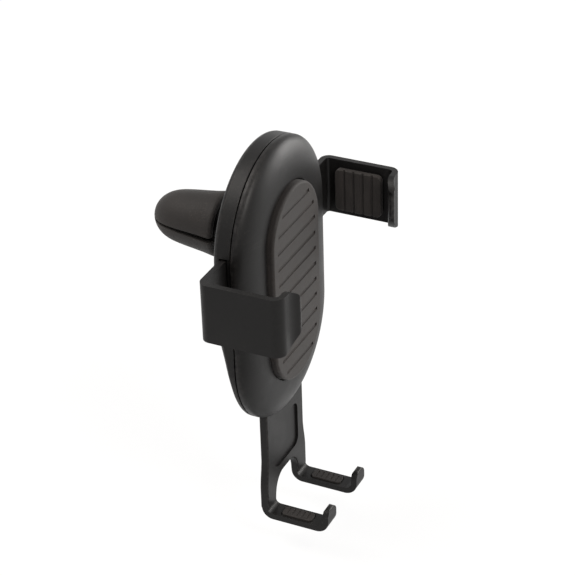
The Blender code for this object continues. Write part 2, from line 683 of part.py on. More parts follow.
def shell_height(z):
    """How far the shell's back stands behind its rim: full over the arms, less towards its foot."""
    full = SHELL_BACK_Y - (PARTING_Y + CLEAR / 2.0)
    stations = (
        (-53.0 * MM, 1.8 * MM),
        (-44.0 * MM, 1.95 * MM),
        (-39.0 * MM, 2.15 * MM),
        (-34.0 * MM, 2.55 * MM),
        (-27.0 * MM, 3.45 * MM),
        (-21.0 * MM, 4.4 * MM),
        (SHELL_THIN_Z, full),
    )
    if z <= stations[0][0]:
        return stations[0][1]
    for k in range(len(stations) - 1):
        z0, h0 = stations[k]
        z1, h1 = stations[k + 1]
        if z <= z1:
            return h0 + (h1 - h0) * (z - z0) / (z1 - z0)
    return full


def room_depth(z):
    """Depth of the room in the shell behind its rim. Its back wall thins towards the foot."""
    foot = max(0.0, min(1.0, (SHELL_THIN_Z - z) / SHELL_THIN_REACH))
    return shell_height(z) - (SHELL_WALL + (SHELL_FOOT_WALL - SHELL_WALL) * foot)


def make_rear_shell(material):
    """Back half of the head: a rounded dish that thins towards its foot, with the ball joint's socket."""
    rim_y = PARTING_Y + CLEAR / 2.0
    sides = [SHELL_THIN_Z - drop * MM for drop in (0.0, 2.0, 4.0, 7.0)]
    insets = [0.0, 0.0, 0.12, 0.45, 1.0, 1.7, 2.6, 4.5, 8.0, 13.0]
    loops = []
    for k, inset in enumerate(insets):
        loop = []
        for x, z in stadium(HEAD_RADIUS - inset * MM, 24, sides):
            height = shell_height(z)
            lower = max(0.0, min(1.0, (SHELL_SOFT_Z - z) / SHELL_SOFT_REACH))
            rounding = (1.7 + 3.3 * lower) * MM
            wall = 0.62 * (1.0 - 0.5 * lower) * height
            reach = max(0.0, 1.0 - inset * MM / rounding)
            rise = math.sqrt(max(0.0, 1.0 - reach * reach))
            y = rim_y if k == 0 else rim_y + wall + (height - wall) * rise
            loop.append((x, y, z))
        loops.append(loop)
    shell = loft("rear_shell", loops, material, top=12)

    # Room inside for the racks and the tray.
    over = 1.0 * MM
    wall_radius = HEAD_RADIUS - HEAD_RIM_WALL
    room_loops = []
    for radius, share in ((wall_radius, None), (wall_radius, 0.7), (wall_radius - 0.4 * MM, 1.0)):
        loop = []
        for x, z in stadium(radius, 24, sides):
            loop.append((x, rim_y - over if share is None else rim_y + room_depth(z) * share, z))
        room_loops.append(loop)
    room = loft("shell_room", room_loops, None, top=12)
    boolean(shell, room, "DIFFERENCE")

    # The gap that the tray slides in runs on below the room and comes out at the foot.
    slide = box("shell_slide",
                (-TRAY_HALF_WIDTH - CLEAR, rim_y - over, HEAD_LOWER_Z - HEAD_RADIUS - 3.0 * MM),
                (TRAY_HALF_WIDTH + CLEAR, TRAY_BACK_Y + CLEAR, -16.0 * MM))
    boolean(shell, slide, "DIFFERENCE")
    notch = box("shell_foot_notch",
                (-TRAY_HALF_WIDTH - CLEAR, rim_y - 2.0 * over, HEAD_LOWER_Z - HEAD_RADIUS - 4.0 * MM),
                (TRAY_HALF_WIDTH + CLEAR, SHELL_BACK_Y, -49.0 * MM))
    boolean(shell, notch, "DIFFERENCE")

    # Side notches for the arm plates.
    for index, side in ((1, -1.0), (2, 1.0)):
        near = side * (HEAD_RADIUS - 4.0 * MM)
        far = side * (HEAD_RADIUS + 2.0 * MM)
        opening = box("arm_notch_" + str(index),
                      (min(near, far), rim_y - over, ARM_Z - ARM_SLOT_HALF_HEIGHT),
                      (max(near, far), SHELL_INNER_Y, ARM_Z + ARM_SLOT_HALF_HEIGHT))
        boolean(shell, opening, "DIFFERENCE")

    # Guides above the upper rack bar and below the lower one.
    sunk = 0.4 * MM
    reach = RACK_ROOT + RACK_BAR_WIDTH + CLEAR
    for index, side in ((1, -1.0), (2, 1.0)):
        near = ARM_Z + side * reach
        far = ARM_Z + side * (reach + BAR_GUIDE_THICKNESS)
        guide = box("bar_guide_" + str(index),
                    (-BAR_GUIDE_HALF_LENGTH, ARM_FRONT_Y + 0.1 * MM, min(near, far)),
                    (BAR_GUIDE_HALF_LENGTH, SHELL_INNER_Y + sunk, max(near, far)))
        boolean(shell, guide, "UNION")

    # Screw bosses with their sunk seats.
    for index, place in enumerate(screw_places()):
        boss = cylinder("shell_boss_" + str(index + 1), place, SCREW_BOSS_RADIUS,
                        SCREW_SEAT_Y - SCREW_SEAT_FLOOR, SHELL_INNER_Y + sunk, 24)
        boolean(shell, boss, "UNION")
        seat = cylinder("screw_seat_" + str(index + 1), place, SCREW_HEAD_RADIUS + CLEAR,
                        SCREW_SEAT_Y, SHELL_BACK_Y + 2.0 * MM, 24)
        boolean(shell, seat, "DIFFERENCE")
        hole = cylinder("screw_hole_" + str(index + 1), place, SCREW_SHANK_RADIUS + CLEAR,
                        SCREW_SEAT_Y - 4.0 * MM, SCREW_SEAT_Y + 1.0 * MM, 16)
        boolean(shell, hole, "DIFFERENCE")

    # Socket of the ball joint, level with the clip's axis.
    rim = BALL_Y + CUP_RADIUS * math.cos(math.radians(84.0))
    socket = lathe("socket", [(SOCKET_RADIUS, SHELL_BACK_Y - sunk), (SOCKET_RADIUS, rim)], (0.0, 0.0), 40)
    boolean(shell, socket, "UNION")
    cup = lathe("cup", sphere_profile(CUP_RADIUS, BALL_Y, 10), (0.0, 0.0), 32)
    boolean(shell, cup, "DIFFERENCE")
    return shell


def sphere_profile(radius, y, steps, start=4.0, end=176.0):
    points = []
    for k in range(steps + 1):
        polar = math.radians(start + (end - start) * k / steps)
        points.append((radius * math.sin(polar), y - radius * math.cos(polar)))
    return points


def polar_point(radius, degrees):
    """Point (radius, y) about the ball's centre, the angle taken from the way to the clip."""
    angle = math.radians(degrees)
    return (radius * math.sin(angle), BALL_Y + radius * math.cos(angle))


def make_ball_seat(material):
    """Thin spherical ring between the ball and the nut."""
    profile = [polar_point(SEAT_RING_INNER, angle) for angle in SEAT_RING_ANGLES]
    profile += [polar_point(SEAT_RING_OUTER, angle) for angle in reversed(SEAT_RING_ANGLES)]
    return lathe("ball_seat", profile, (0.0, 0.0), 40, material, closed=True)


def make_lock_nut(material):
    """Ribbed ring nut that closes over the ball's socket."""
    start = SHELL_BACK_Y + CLEAR
    step_y = BALL_Y + CUP_RADIUS * math.cos(math.radians(84.0)) + CLEAR
    cavity_angle = math.degrees(math.acos((step_y - BALL_Y) / NUT_CAVITY_RADIUS))
    profile = [(NUT_BORE_RADIUS + 0.4 * MM, start), (NUT_BORE_RADIUS, start + 0.4 * MM)]
    profile += [(NUT_BORE_RADIUS, step_y)]
    for k in range(6):
        angle = cavity_angle + (48.0 - cavity_angle) * k / 5
        profile.append(polar_point(NUT_CAVITY_RADIUS, angle))
    profile += [polar_point(NUT_CAVITY_RADIUS + wall, angle) for angle, wall in NUT_END]
    profile += [(NUT_RADIUS, BALL_Y + NUT_SHOULDER)]
    ribbed = [len(profile) - 1, len(profile)]
    profile += [(NUT_RADIUS, start + NUT_EDGE), (NUT_RADIUS - NUT_EDGE, start)]
    return lathe("lock_nut", profile, (0.0, 0.0), 2 * NUT_RIBS, material, closed=True, ribs=ribbed)


def make_ball_stud(material):
    neck_angle = math.degrees(math.asin(NECK_RADIUS / BALL_RADIUS))
    profile = []
    for k in range(13):
        angle = 176.0 + (neck_angle - 176.0) * k / 12
        profile.append(polar_point(BALL_RADIUS, angle))
    end = CLIP_BASE_Y + CLIP_BORE_DEPTH - CLEAR
    profile += [(NECK_RADIUS, end - 0.4 * MM), (NECK_RADIUS - 0.4 * MM, end)]
    return lathe("ball_stud", profile, (0.0, 0.0), 32, material)


def clip_radius(distance):
    """Radius of the clip at a distance back from its base."""
    along = distance / CLIP_LENGTH
    for k in range(len(CLIP_PROFILE) - 1):
        d0, r0 = CLIP_PROFILE[k]
        d1, r1 = CLIP_PROFILE[k + 1]
        if along <= d1:
            return CLIP_RADIUS * (r0 + (r1 - r0) * (along - d0) / (d1 - d0))
    return CLIP_RADIUS * CLIP_PROFILE[-1][1]


def boot_level(side, along):
    """Height of a boot's flat face over the slot's middle, at a share of the clip's length."""
    base_level = SLOT_TIP_HALF if side > 0 else SLOT_BASE_LOWER
    return base_level + (SLOT_TIP_HALF - base_level) * along


def half_round(name, stations, side, material=None, steps=20):
    """Skin through sections bounded by a circle and by a level line. Stations are (y, radius, level)."""
    loops = []
    for y, radius, level in stations:
        first = math.asin(level / radius)
        loop = []
        for k in range(steps + 1):
            angle = first + (math.pi - 2.0 * first) * k / steps
            loop.append((radius * math.cos(angle), y, side * radius * math.sin(angle)))
        loops.append(loop)
    return loft(name, loops, material)


def tongue_stations(grow):
    stations = []
    start = CLIP_BASE_Y + 1.0 * MM
    count = 7
    for k in range(count + 1):
        y = start + (TONGUE_END_Y - start) * k / count
        shrink = CLIP_WALL + CLEAR - grow
        radius = clip_radius(y - CLIP_BASE_Y) - shrink
        if k == count:
            y = y + grow
        stations.append((y, radius, TONGUE_FACE_Z - grow))
    return stations


def make_clip_core(material):
    """Hub with two tongues in the shape of half rounds, one above and one below the slot."""
    hub_end = CLIP_BASE_Y + CLIP_HUB_LENGTH
    profile = [(CLIP_HUB_RADIUS - 0.4 * MM, CLIP_BASE_Y), (CLIP_HUB_RADIUS, CLIP_BASE_Y + 0.4 * MM)]
    profile += [(CLIP_HUB_RADIUS, hub_end)]
    core = lathe("clip_core", profile, (0.0, 0.0), 40, material)
    for name, side in (("upper", 1.0), ("lower", -1.0)):
        tongue = half_round(name + "_tongue", tongue_stations(0.0), side)
        boolean(core, tongue, "UNION")
    bore = cylinder("clip_bore", (0.0, 0.0), NECK_RADIUS + CLEAR,
                    CLIP_BASE_Y - 1.0 * MM, CLIP_BASE_Y + CLIP_BORE_DEPTH, 32)
    boolean(core, bore, "DIFFERENCE")
    return core


def make_boot(name, side, material):
    """Rubber half of the clip: a cup over one tongue, its flat face grooved where it grips the blade."""
    stations = []
    for along, size in CLIP_PROFILE:
        stations.append((CLIP_BASE_Y + along * CLIP_LENGTH, size * CLIP_RADIUS, boot_level(side, along)))
    boot = half_round(name, stations, side, material, 28)
    bevel(boot, 0.2 * MM, 1, 60.0)
    pocket = cylinder(name + "_hub_pocket", (0.0, 0.0), CLIP_HUB_RADIUS + CLEAR,
                      CLIP_BASE_Y - 1.0 * MM, CLIP_BASE_Y + CLIP_HUB_LENGTH + CLEAR, 40)
    boolean(boot, pocket, "DIFFERENCE")
    cavity = half_round(name + "_tongue_room", tongue_stations(CLEAR), side)
    boolean(boot, cavity, "DIFFERENCE")
    for k in range(JAW_GROOVES):
        distance = JAW_GROOVE_START + JAW_GROOVE_PITCH * k
        y = CLIP_BASE_Y + distance
        level = boot_level(side, distance / CLIP_LENGTH)
        half = clip_radius(distance) - CLIP_WALL
        outline = [(y - 0.5 * MM, side * (level - 0.3 * MM)), (y, side * (level + JAW_GROOVE_DEPTH)),
                   (y + 0.5 * MM, side * (level - 0.3 * MM))]
        groove = prism(name + "_groove_" + str(k + 1), outline, "X", -half, half)
        boolean(boot, groove, "DIFFERENCE")
    return boot


def make_screw(name, place, material):
    seat = SCREW_SEAT_Y + CLEAR
    top = seat + SCREW_HEAD_HEIGHT
    end = COVER_INNER_Y + CLEAR
    profile = [(SCREW_SHANK_RADIUS * 0.5, end), (SCREW_SHANK_RADIUS, end + 0.8 * MM)]
    profile += [(SCREW_SHANK_RADIUS, seat), (SCREW_HEAD_RADIUS, seat)]
    profile += [(SCREW_HEAD_RADIUS, top - 0.5 * MM), (SCREW_HEAD_RADIUS - 0.45 * MM, top - 0.1 * MM)]
    profile += [(SCREW_HEAD_RADIUS - 1.0 * MM, top)]
    screw = lathe(name, profile, place, 20, material)
    arm = 1.0 * MM
    half = 0.25 * MM
    depth = top - 0.6 * MM
    cross = [(half, half), (arm, half), (arm, -half), (half, -half), (half, -arm), (-half, -arm)]
    cross += [(-half, -half), (-arm, -half), (-arm, half), (-half, half), (-half, arm), (half, arm)]
    outline = [(place[0] + x, place[1] + z) for x, z in cross]
    drive = prism(name + "_drive", outline, "Y", depth, top + 1.0 * MM)
    boolean(screw, drive, "DIFFERENCE")
    return screw


def make_pinion(material):
    low = TRAY_FRONT_Y
    pinion = prism("drive_pinion", gear_outline(), "Y", low, ARM_BACK_Y, material)
    bore = cylinder("pinion_bore", (0.0, ARM_Z), POST_RADIUS + CLEAR, low - 1.0 * MM,
                    ARM_BACK_Y + 1.0 * MM, 28)
    boolean(pinion, bore, "DIFFERENCE")
    return pinion


def make_front_pad(material):
    loops = []
    for radius, y in ((PAD_RADIUS, COVER_RECESS_Y - CLEAR), (PAD_RADIUS, SEAT_Y + 0.6 * MM),
                      (PAD_RADIUS - 0.2 * MM, SEAT_Y + 0.2 * MM), (PAD_RADIUS - 0.7 * MM, SEAT_Y)):
        loops.append([(x, y, z) for x, z in stadium(radius)])
    return loft("front_pad", loops, material)


def set_origin(obj, point):
    """Moves an object's origin to a point on its joint's axis and leaves its shape where it is."""
    obj.data.transform(Matrix.Translation(-Vector(point)))
    obj.location = point


def main():
    clear_scene()
    satin = make_material("satin_black_plastic", (0.018, 0.017, 0.017), 0.42)
    matte = make_material("matte_black_rubber", (0.014, 0.012, 0.011), 0.78)
    gear = make_material("gear_plastic", (0.62, 0.61, 0.57), 0.45)
    nylon = make_material("seat_plastic", (0.55, 0.54, 0.5), 0.5)
    steel = make_material("screw_steel", (0.5, 0.5, 0.51), 0.32, 1.0)

    # What turns on the ball.
    ball = (0.0, BALL_Y, 0.0)
    head = [make_front_cover(satin), make_front_pad(matte), make_rear_shell(satin)]
    for index, place in enumerate(screw_places()):
        head.append(make_screw("housing_screw_" + str(index + 1), place, steel))
    head += [make_lock_nut(satin), make_ball_seat(nylon)]
    for piece in head:
        set_origin(piece, ball)

    # What slides in the head, each with its origin on the line that it slides along.
    arm_line = (0.0, (ARM_FRONT_Y + ARM_BACK_Y) / 2.0, ARM_Z)
    for name, side in (("left_arm", -1.0), ("right_arm", 1.0)):
        set_origin(make_arm(name, side, satin), arm_line)
        set_origin(make_arm_pad(name + "_pad", side, matte), arm_line)
    tray_line = (0.0, (TRAY_FRONT_Y + TRAY_BACK_Y) / 2.0, ARM_Z)
    set_origin(make_tray(satin), tray_line)
    set_origin(make_hook_pad("left_hook_pad", -1.0, matte), tray_line)
    set_origin(make_hook_pad("right_hook_pad", 1.0, matte), tray_line)
    set_origin(make_pinion(gear), (0.0, (TRAY_FRONT_Y + ARM_BACK_Y) / 2.0, ARM_Z))

    # What stays with the vent.
    make_ball_stud(satin)
    make_clip_core(satin)
    make_boot("upper_jaw_boot", 1.0, matte)
    make_boot("lower_jaw_boot", -1.0, matte)


main()
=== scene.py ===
"""Look of the air vent phone holder: finished pieces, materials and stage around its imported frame.

Metres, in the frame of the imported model: +Y runs along the clip to its tip, so the grip faces -Y,
+X is the right arm's side, +Z is up, and the origin is on the clip's axis in its slot.
"""

import math

import bpy
from mathutils import Matrix, Vector


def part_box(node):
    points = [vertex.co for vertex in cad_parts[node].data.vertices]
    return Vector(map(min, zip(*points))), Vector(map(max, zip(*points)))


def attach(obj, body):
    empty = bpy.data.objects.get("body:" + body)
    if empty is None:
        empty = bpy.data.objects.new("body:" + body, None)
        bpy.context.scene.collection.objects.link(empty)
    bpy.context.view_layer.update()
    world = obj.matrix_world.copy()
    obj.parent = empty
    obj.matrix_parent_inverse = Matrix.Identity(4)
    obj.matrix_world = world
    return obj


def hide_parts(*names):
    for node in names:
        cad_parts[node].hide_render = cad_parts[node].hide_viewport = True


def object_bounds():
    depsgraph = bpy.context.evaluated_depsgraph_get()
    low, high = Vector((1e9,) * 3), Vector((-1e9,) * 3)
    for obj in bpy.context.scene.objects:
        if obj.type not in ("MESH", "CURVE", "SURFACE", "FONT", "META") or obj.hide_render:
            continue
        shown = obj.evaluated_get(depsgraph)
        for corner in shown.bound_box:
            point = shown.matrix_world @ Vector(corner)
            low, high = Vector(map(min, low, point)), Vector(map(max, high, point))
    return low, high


bl_info = {
    "name": "Vent Holder Look",
    "version": (1, 0, 0),
    "blender": (4, 5, 0),
    "location": "View3D > Sidebar > Vent Holder",
    "description": "Builds the finished pieces, materials and stage of an air vent phone holder",
    "category": "Object",
}

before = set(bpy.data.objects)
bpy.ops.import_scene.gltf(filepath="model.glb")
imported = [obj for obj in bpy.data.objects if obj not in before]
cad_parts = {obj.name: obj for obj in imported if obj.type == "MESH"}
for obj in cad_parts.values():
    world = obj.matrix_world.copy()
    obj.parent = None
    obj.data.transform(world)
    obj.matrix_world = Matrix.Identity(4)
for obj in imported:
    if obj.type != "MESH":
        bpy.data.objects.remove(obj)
CAD_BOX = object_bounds()

MM = 0.001

# Play between pieces that seat or slide.
CLEAR = 0.3 * MM
# How far a shape reaches into one that it is joined to.
SUNK = 0.4 * MM
# How far a shape stays away from a face that it would otherwise lie flush with.
SKIN = 0.05 * MM
# How far a cutting shape stands out of what it cuts.
OVER = 1.0 * MM

# Layers of the head along Y, from its front to its back.
FRONT_PAD_THICKNESS = 2.2 * MM
PAD_RECESS_DEPTH = 0.8 * MM
COVER_WALL = 2.3 * MM
TRAY_THICKNESS = 2.4 * MM
ARM_PLATE_THICKNESS = 1.6 * MM
SHELL_WALL = 2.0 * MM
SEAT_Y = -32.9 * MM
RECESS_Y = SEAT_Y + FRONT_PAD_THICKNESS + CLEAR
FACE_Y = RECESS_Y - PAD_RECESS_DEPTH
COVER_INNER_Y = RECESS_Y + COVER_WALL
TRAY_FRONT_Y = COVER_INNER_Y + CLEAR
TRAY_BACK_Y = TRAY_FRONT_Y + TRAY_THICKNESS
ARM_FRONT_Y = TRAY_BACK_Y + CLEAR
ARM_BACK_Y = ARM_FRONT_Y + ARM_PLATE_THICKNESS
SHELL_INNER_Y = ARM_BACK_Y + CLEAR
SHELL_BACK_Y = SHELL_INNER_Y + SHELL_WALL
PARTING_Y = -26.3 * MM
COVER_RIM_Y = PARTING_Y - CLEAR / 2.0
SHELL_RIM_Y = PARTING_Y + CLEAR / 2.0

# Head: two half circles about these heights, joined by straight sides.
HEAD_UPPER_Z = 2.0 * MM
HEAD_LOWER_Z = -27.5 * MM
HEAD_STEPS = 64
BELOW_HEAD = 3.0 * MM
RIM_WALL = 1.5 * MM
SEAM_BREAK = 0.15 * MM

# Front cover. The edge about the pad lists (out, back) in millimetres.
PAD_RECESS_EDGE = ((0.0, 0.18), (0.06, 0.05), (0.2, 0.0))
COVER_FLAT = 0.6 * MM
COVER_SIDE = 0.9 * MM
COVER_RIM_DEPTH = 0.7 * MM
COVER_RIM_SLOPE = 1.3 * MM
COVER_SLOT_Z = -46.0 * MM
COVER_SLOT_PAST = 2.0 * MM
TRAY_GUIDE_WALL = 1.4 * MM
TRAY_GUIDE_LOW_Z = -42.0 * MM
TRAY_GUIDE_TOP_Z = 17.5 * MM
TRAY_GUIDE_SHORT = 0.6 * MM
TONGUE_INSET = 0.1 * MM

# Rear shell: full depth and a tight edge above, thinner and softer towards its foot. The lists give
# (height, depth), heights along the straight sides and steps in from the outline, all in millimetres.
SHELL_DEPTHS = ((-53.0, 1.8), (-44.0, 1.95), (-39.0, 2.15), (-34.0, 2.55), (-27.0, 3.45), (-21.0, 4.4))
SHELL_SIDES = (-17.0, -18.0, -19.0, -20.0, -21.0, -22.5, -24.0, -25.8)
SHELL_INSETS = (0.15, 0.0, 0.03, 0.08, 0.15, 0.26, 0.4, 0.6, 0.85, 1.15,
                1.5, 2.0, 2.6, 3.4, 4.5, 6.0, 8.0, 10.5, 13.0)
SHELL_FULL_Z = -17.0 * MM
SHELL_THIN_REACH = 22.0 * MM
SHELL_FOOT_WALL = 1.3 * MM
SHELL_SOFT_Z = -16.0 * MM
SHELL_SOFT_REACH = 16.0 * MM
SHELL_EDGE = 1.7 * MM
SHELL_FOOT_EDGE = 5.0 * MM
SHELL_SIDE_SHARE = 0.62
SHELL_ROOM_SHARE = 0.7
SHELL_ROOM_EDGE = 0.4 * MM
SHELL_SLIDE_Z = -16.0 * MM
SHELL_NOTCH_Z = -49.0 * MM
ARM_SLOT_HALF = 8.25 * MM + CLEAR
ARM_SLOT_IN = 4.0 * MM
ARM_SLOT_OUT = 2.0 * MM
BAR_GUIDE_WALL = 1.2 * MM
BAR_GUIDE_HALF = 20.5 * MM
BAR_GUIDE_GAP = 0.1 * MM

# Arms, all about one height. The lip bends in by its reach and then flares in and forward.
ARM_Z = -3.05 * MM
ARM_BAND_GAP = 2.0 * MM
ARM_PLATE_GAP = 2.8 * MM
ARM_REAR_RADIUS = 2.5 * MM
ARM_FRONT_RADIUS = 3.0 * MM
ARM_NECK_X = 12.4 * MM
ARM_NECK_STEP = 4.1 * MM
LIP_Y = -45.55 * MM
LIP_REACH = 4.5 * MM
LIP_FLARE_IN = 2.1 * MM
LIP_FLARE_FORWARD = 1.45 * MM
LIP_BEND_RADIUS = 6.0 * MM
LIP_TOP_CORNER = 5.2 * MM
LIP_LOWER_CORNER = 8.0 * MM
LIP_CORNER_BEFORE = 5.0 * MM
LIP_CORNER_PAST = 2.3 * MM

# Gear, racks and the toothed bars. Distances from the gear's middle line.
GEAR_MODULE = 0.9 * MM
GEAR_TEETH = 14
GEAR_FLANK = math.radians(20.0)
GEAR_PITCH_RADIUS = GEAR_MODULE * GEAR_TEETH / 2.0
GEAR_PITCH = math.pi * GEAR_MODULE
GEAR_ADDENDUM = 0.675 * MM
GEAR_DEDENDUM = 0.975 * MM
GEAR_BACKLASH = 0.25 * MM
GEAR_POST_RADIUS = 2.0 * MM
TOOTH_WIDTH = GEAR_PITCH / 2.0 - GEAR_BACKLASH
RACK_ROOT = GEAR_PITCH_RADIUS + GEAR_DEDENDUM
RACK_BAR_WIDTH = 4.4 * MM
BAR_START_X = 12.0 * MM
BAR_END_X = 14.0 * MM
BAR_CORNER = 1.2 * MM
BAR_EDGE = 0.12 * MM
ARM_NECK_TOP = RACK_ROOT + 0.7 * MM

# Tray and hooks. The outlines list (x, up) in millimetres: the arch from each leg inwards, the foot from
# the hook's outer side and the flare from the tray's side. Up counts from the tray's lower edge.
TRAY_TOP_Z = 13.0 * MM
TRAY_CORNER = 4.0 * MM
TRAY_EDGE = 0.4 * MM
TRAY_LOWER_EDGE = 1.93 * MM
TRAY_ARCH = ((-4.2, 7.4), (-3.0, 6.95), (-2.0, 6.2), (-1.2, 5.2), (-0.6, 4.0), (-0.2, 2.3), (0.0, 0.0))
TRAY_FOOT = ((0.0, 0.0), (0.0, 7.0), (-0.3, 9.5))
TRAY_FLARE = ((0.3, 12.5), (0.0, 15.0))
TRAY_FOOT_INSET = 0.03 * MM
TRAY_LEG_INSET = 0.35 * MM
TRAY_WINDOW_X = -7.6 * MM
TRAY_WINDOW_DROP = 17.5 * MM
TRAY_WINDOW_RISE = 12.5 * MM
TRAY_PANEL_RISE = 10.2 * MM
TRAY_PANEL_HEIGHT = 14.0 * MM
TRAY_PANEL_MARGIN = 3.5 * MM
TRAY_PANEL_CORNER = 2.5 * MM
TRAY_PANEL_DEPTH = 0.6 * MM
HOOK_INSET = 1.55 * MM
HOOK_ROOT_RISE = 7.0 * MM
HOOK_LIP_Y = -44.9 * MM
HOOK_TIP_RISE = 5.6 * MM
HOOK_REAR_BEND = 2.4 * MM
HOOK_FRONT_BEND = 2.9 * MM
POCKET_CORNER = 1.3 * MM
POCKET_TOP = 3.0 * MM

# Pads. Each groove lists (depth, half width) in millimetres, from above its edge to its middle.
ARM_PAD_CORNER = 1.5 * MM
ARM_PAD_EDGE = 0.32 * MM
ARM_PAD_GROOVES = 4
ARM_PAD_GROOVE = ((-1.0, 0.55), (0.0, 0.42), (0.38, 0.3), (0.5, 0.0))
HOOK_PAD_CORNER = 1.0 * MM
HOOK_PAD_EDGE = 0.18 * MM
HOOK_PAD_GROOVES = 5
HOOK_PAD_GROOVE = ((-0.3, 0.35), (0.2, 0.12))
HOOK_PAD_GROOVE_END = 0.5 * MM
FRONT_PAD_EDGE = 0.75 * MM
FRONT_PAD_GROOVES = 11
FRONT_PAD_GROOVE = ((-0.4, 0.7), (0.0, 0.55), (0.3, 0.4), (0.42, 0.0))
FRONT_PAD_GROOVE_END = 2.6 * MM
FRONT_PAD_MARGIN = 5.0 * MM
PAD_ROUGHER = 0.06

# Screws, each at its X and Z in millimetres.
SCREWS = ((-14.0, 17.0), (14.0, 17.0), (-15.0, -19.8), (15.0, -19.8))
SCREW_SEAT_Y = SHELL_INNER_Y - 0.6 * MM
SCREW_SEAT_FLOOR = 1.3 * MM
SCREW_SEAT_RADIUS = 2.3 * MM
SCREW_SEAT_PAST = 2.0 * MM
SCREW_HOLE_RADIUS = 1.2 * MM
SCREW_HOLE_DEPTH = 4.0 * MM
SCREW_HOLE_STEPS = 32
SCREW_PILOT_BITE = 0.2 * MM
SHELL_BOSS_RADIUS = 3.2 * MM
COVER_BOSS_RADIUS = 2.4 * MM
SCREW_RADIUS = 0.9 * MM
SCREW_TIP_RADIUS = 0.45 * MM
SCREW_TIP_LENGTH = 0.8 * MM
SCREW_ROOT_RADIUS = 0.68 * MM
SCREW_TURNS = 6
SCREW_THREAD_START = 1.0 * MM
SCREW_THREAD_PITCH = 0.35 * MM
SCREW_THREAD_FLANK = 0.17 * MM
SCREW_NECK = 0.1 * MM
SCREW_STEPS = 48
SCREW_HEAD_RADIUS = 2.0 * MM
SCREW_HEAD_HEIGHT = 1.1 * MM
SCREW_HEAD_FLAT = 1.0 * MM
SCREW_HEAD_DOME = 0.55 * MM
CROSS_HALF = 0.25 * MM
CROSS_REACH = 1.0 * MM
CROSS_DEPTH = 0.6 * MM
CROSS_FIRST_TURN = 0.4
CROSS_NEXT_TURN = 0.7

# Ball joint, all about one centre on the Y axis. The nut's lists give (out, degrees or y) steps of its rim.
BALL_RADIUS = 4.0 * MM
CUP_RADIUS = BALL_RADIUS + CLEAR
CUP_WALL = 0.75 * MM
BALL_Y = SHELL_INNER_Y + CUP_WALL + CUP_RADIUS
CUP_RIM_Y = BALL_Y + CUP_RADIUS * math.cos(math.radians(84.0))
CUP_STEPS = 24
CUP_BACK_DEGREES = 176.0
CUP_SWEEP_DEGREES = 172.0
SOCKET_RADIUS = 5.9 * MM
SOCKET_EDGE = 0.2 * MM
ROUND_STEPS = 96
NUT_CAVITY_RADIUS = 5.5 * MM
NUT_BORE_RADIUS = 6.2 * MM
NUT_BORE_EDGE = 0.4 * MM
NUT_SHOULDER = 2.9 * MM
NUT_LIP_DEGREES = 48.0
NUT_RIM = ((0.5, 46.6), (0.85, 46.5), (1.0, 50.0), (1.15, 54.0), (1.5, 58.5), (1.85, 62.5))
NUT_SIDE_TOP = ((-0.15, -0.02), (0.0, -0.2))
NUT_SIDE_FOOT = ((0.0, 0.5), (-0.15, 0.15), (-0.5, 0.0))
NUT_RIBS = 24
NUT_RIB_STEPS = 8
NUT_RIB_DEPTH = 0.38 * MM
NUT_RIB_FULLNESS = 0.7

# Vent clip. The profile gives places along the jaws and radii, as shares of the length and the radius.
CLIP_BASE_Y = -12.2 * MM
JAW_WALL = 1.7 * MM
JAW_EDGE = 0.28 * MM
JAW_SLOT_TIP = 0.25 * MM
UPPER_SLOT_BASE = 0.25 * MM
LOWER_SLOT_BASE = 1.4 * MM
JAW_SECTIONS = 52
JAW_TIP_CROWDING = 1.6
JAW_STEPS = 56
JAW_GROOVES = 6
JAW_GROOVE_START = 6.0 * MM
JAW_GROOVE_PITCH = 2.2 * MM
JAW_GROOVE = ((-0.3, 0.5), (0.28, 0.2), (0.4, 0.0))
HUB_POCKET_RADIUS = 7.1 * MM
HUB_POCKET_DEPTH = 3.5 * MM
TONGUE_END_Y = 4.5 * MM
TONGUE_LEVEL = 1.6 * MM
TONGUE_SECTIONS = 10
TONGUE_STEPS = 40
CLIP_PROFILE = (
    (0.0, 0.955), (0.025, 1.0), (0.197, 0.943), (0.369, 0.892), (0.542, 0.841), (0.69, 0.778),
    (0.803, 0.682), (0.887, 0.551), (0.946, 0.398), (0.98, 0.25), (1.0, 0.102),
)

GREASE = (0.42, 0.39, 0.33)

# Stage. The camera's turns are in degrees. Each lamp has its power's property, size, place and colour.
CAMERA_PLACE = (-0.411461, -0.235535, 0.261275)
CAMERA_TURNS = (58.9778, 1.6236, -64.42)
CAMERA_LENS = 127.975
CAMERA_SENSOR = 36.0
LAMP_TARGET = (0.0, -0.02, -0.02)
WARM_LIGHT = (1.0, 0.955, 0.91)
LAMPS = (
    ("key_lamp", "key_power", 0.5, (-0.35, -0.75, 0.75), WARM_LIGHT),
    ("fill_lamp", "fill_power", 0.5, (0.75, -0.5, 0.06), (1.0, 0.98, 0.96)),
    ("top_lamp", "top_power", 0.6, (-0.25, 0.45, 0.9), WARM_LIGHT),
)
ROOM_LIGHT = (0.95, 0.93, 0.915, 1.0)
ROOM_STRENGTH = 0.52
WHITE = (1.0, 1.0, 1.0, 1.0)
FLOOR_REACH = 6.0
FLOOR_SPECKLE = 0.004


def length(name, description, value):
    return bpy.props.FloatProperty(name=name, description=description, default=value, min=0.0,
                                   unit="LENGTH", subtype="DISTANCE", precision=5)


def colour(name, description, value):
    return bpy.props.FloatVectorProperty(name=name, description=description, default=value, size=3,
                                         min=0.0, max=1.0, subtype="COLOR")


def power(name, description, value):
    return bpy.props.FloatProperty(name=name, description=description, default=value, min=0.0, unit="POWER")


def share(name, description, value):
    return bpy.props.FloatProperty(name=name, description=description, default=value, min=0.0,
                                   max=1.0, subtype="FACTOR")


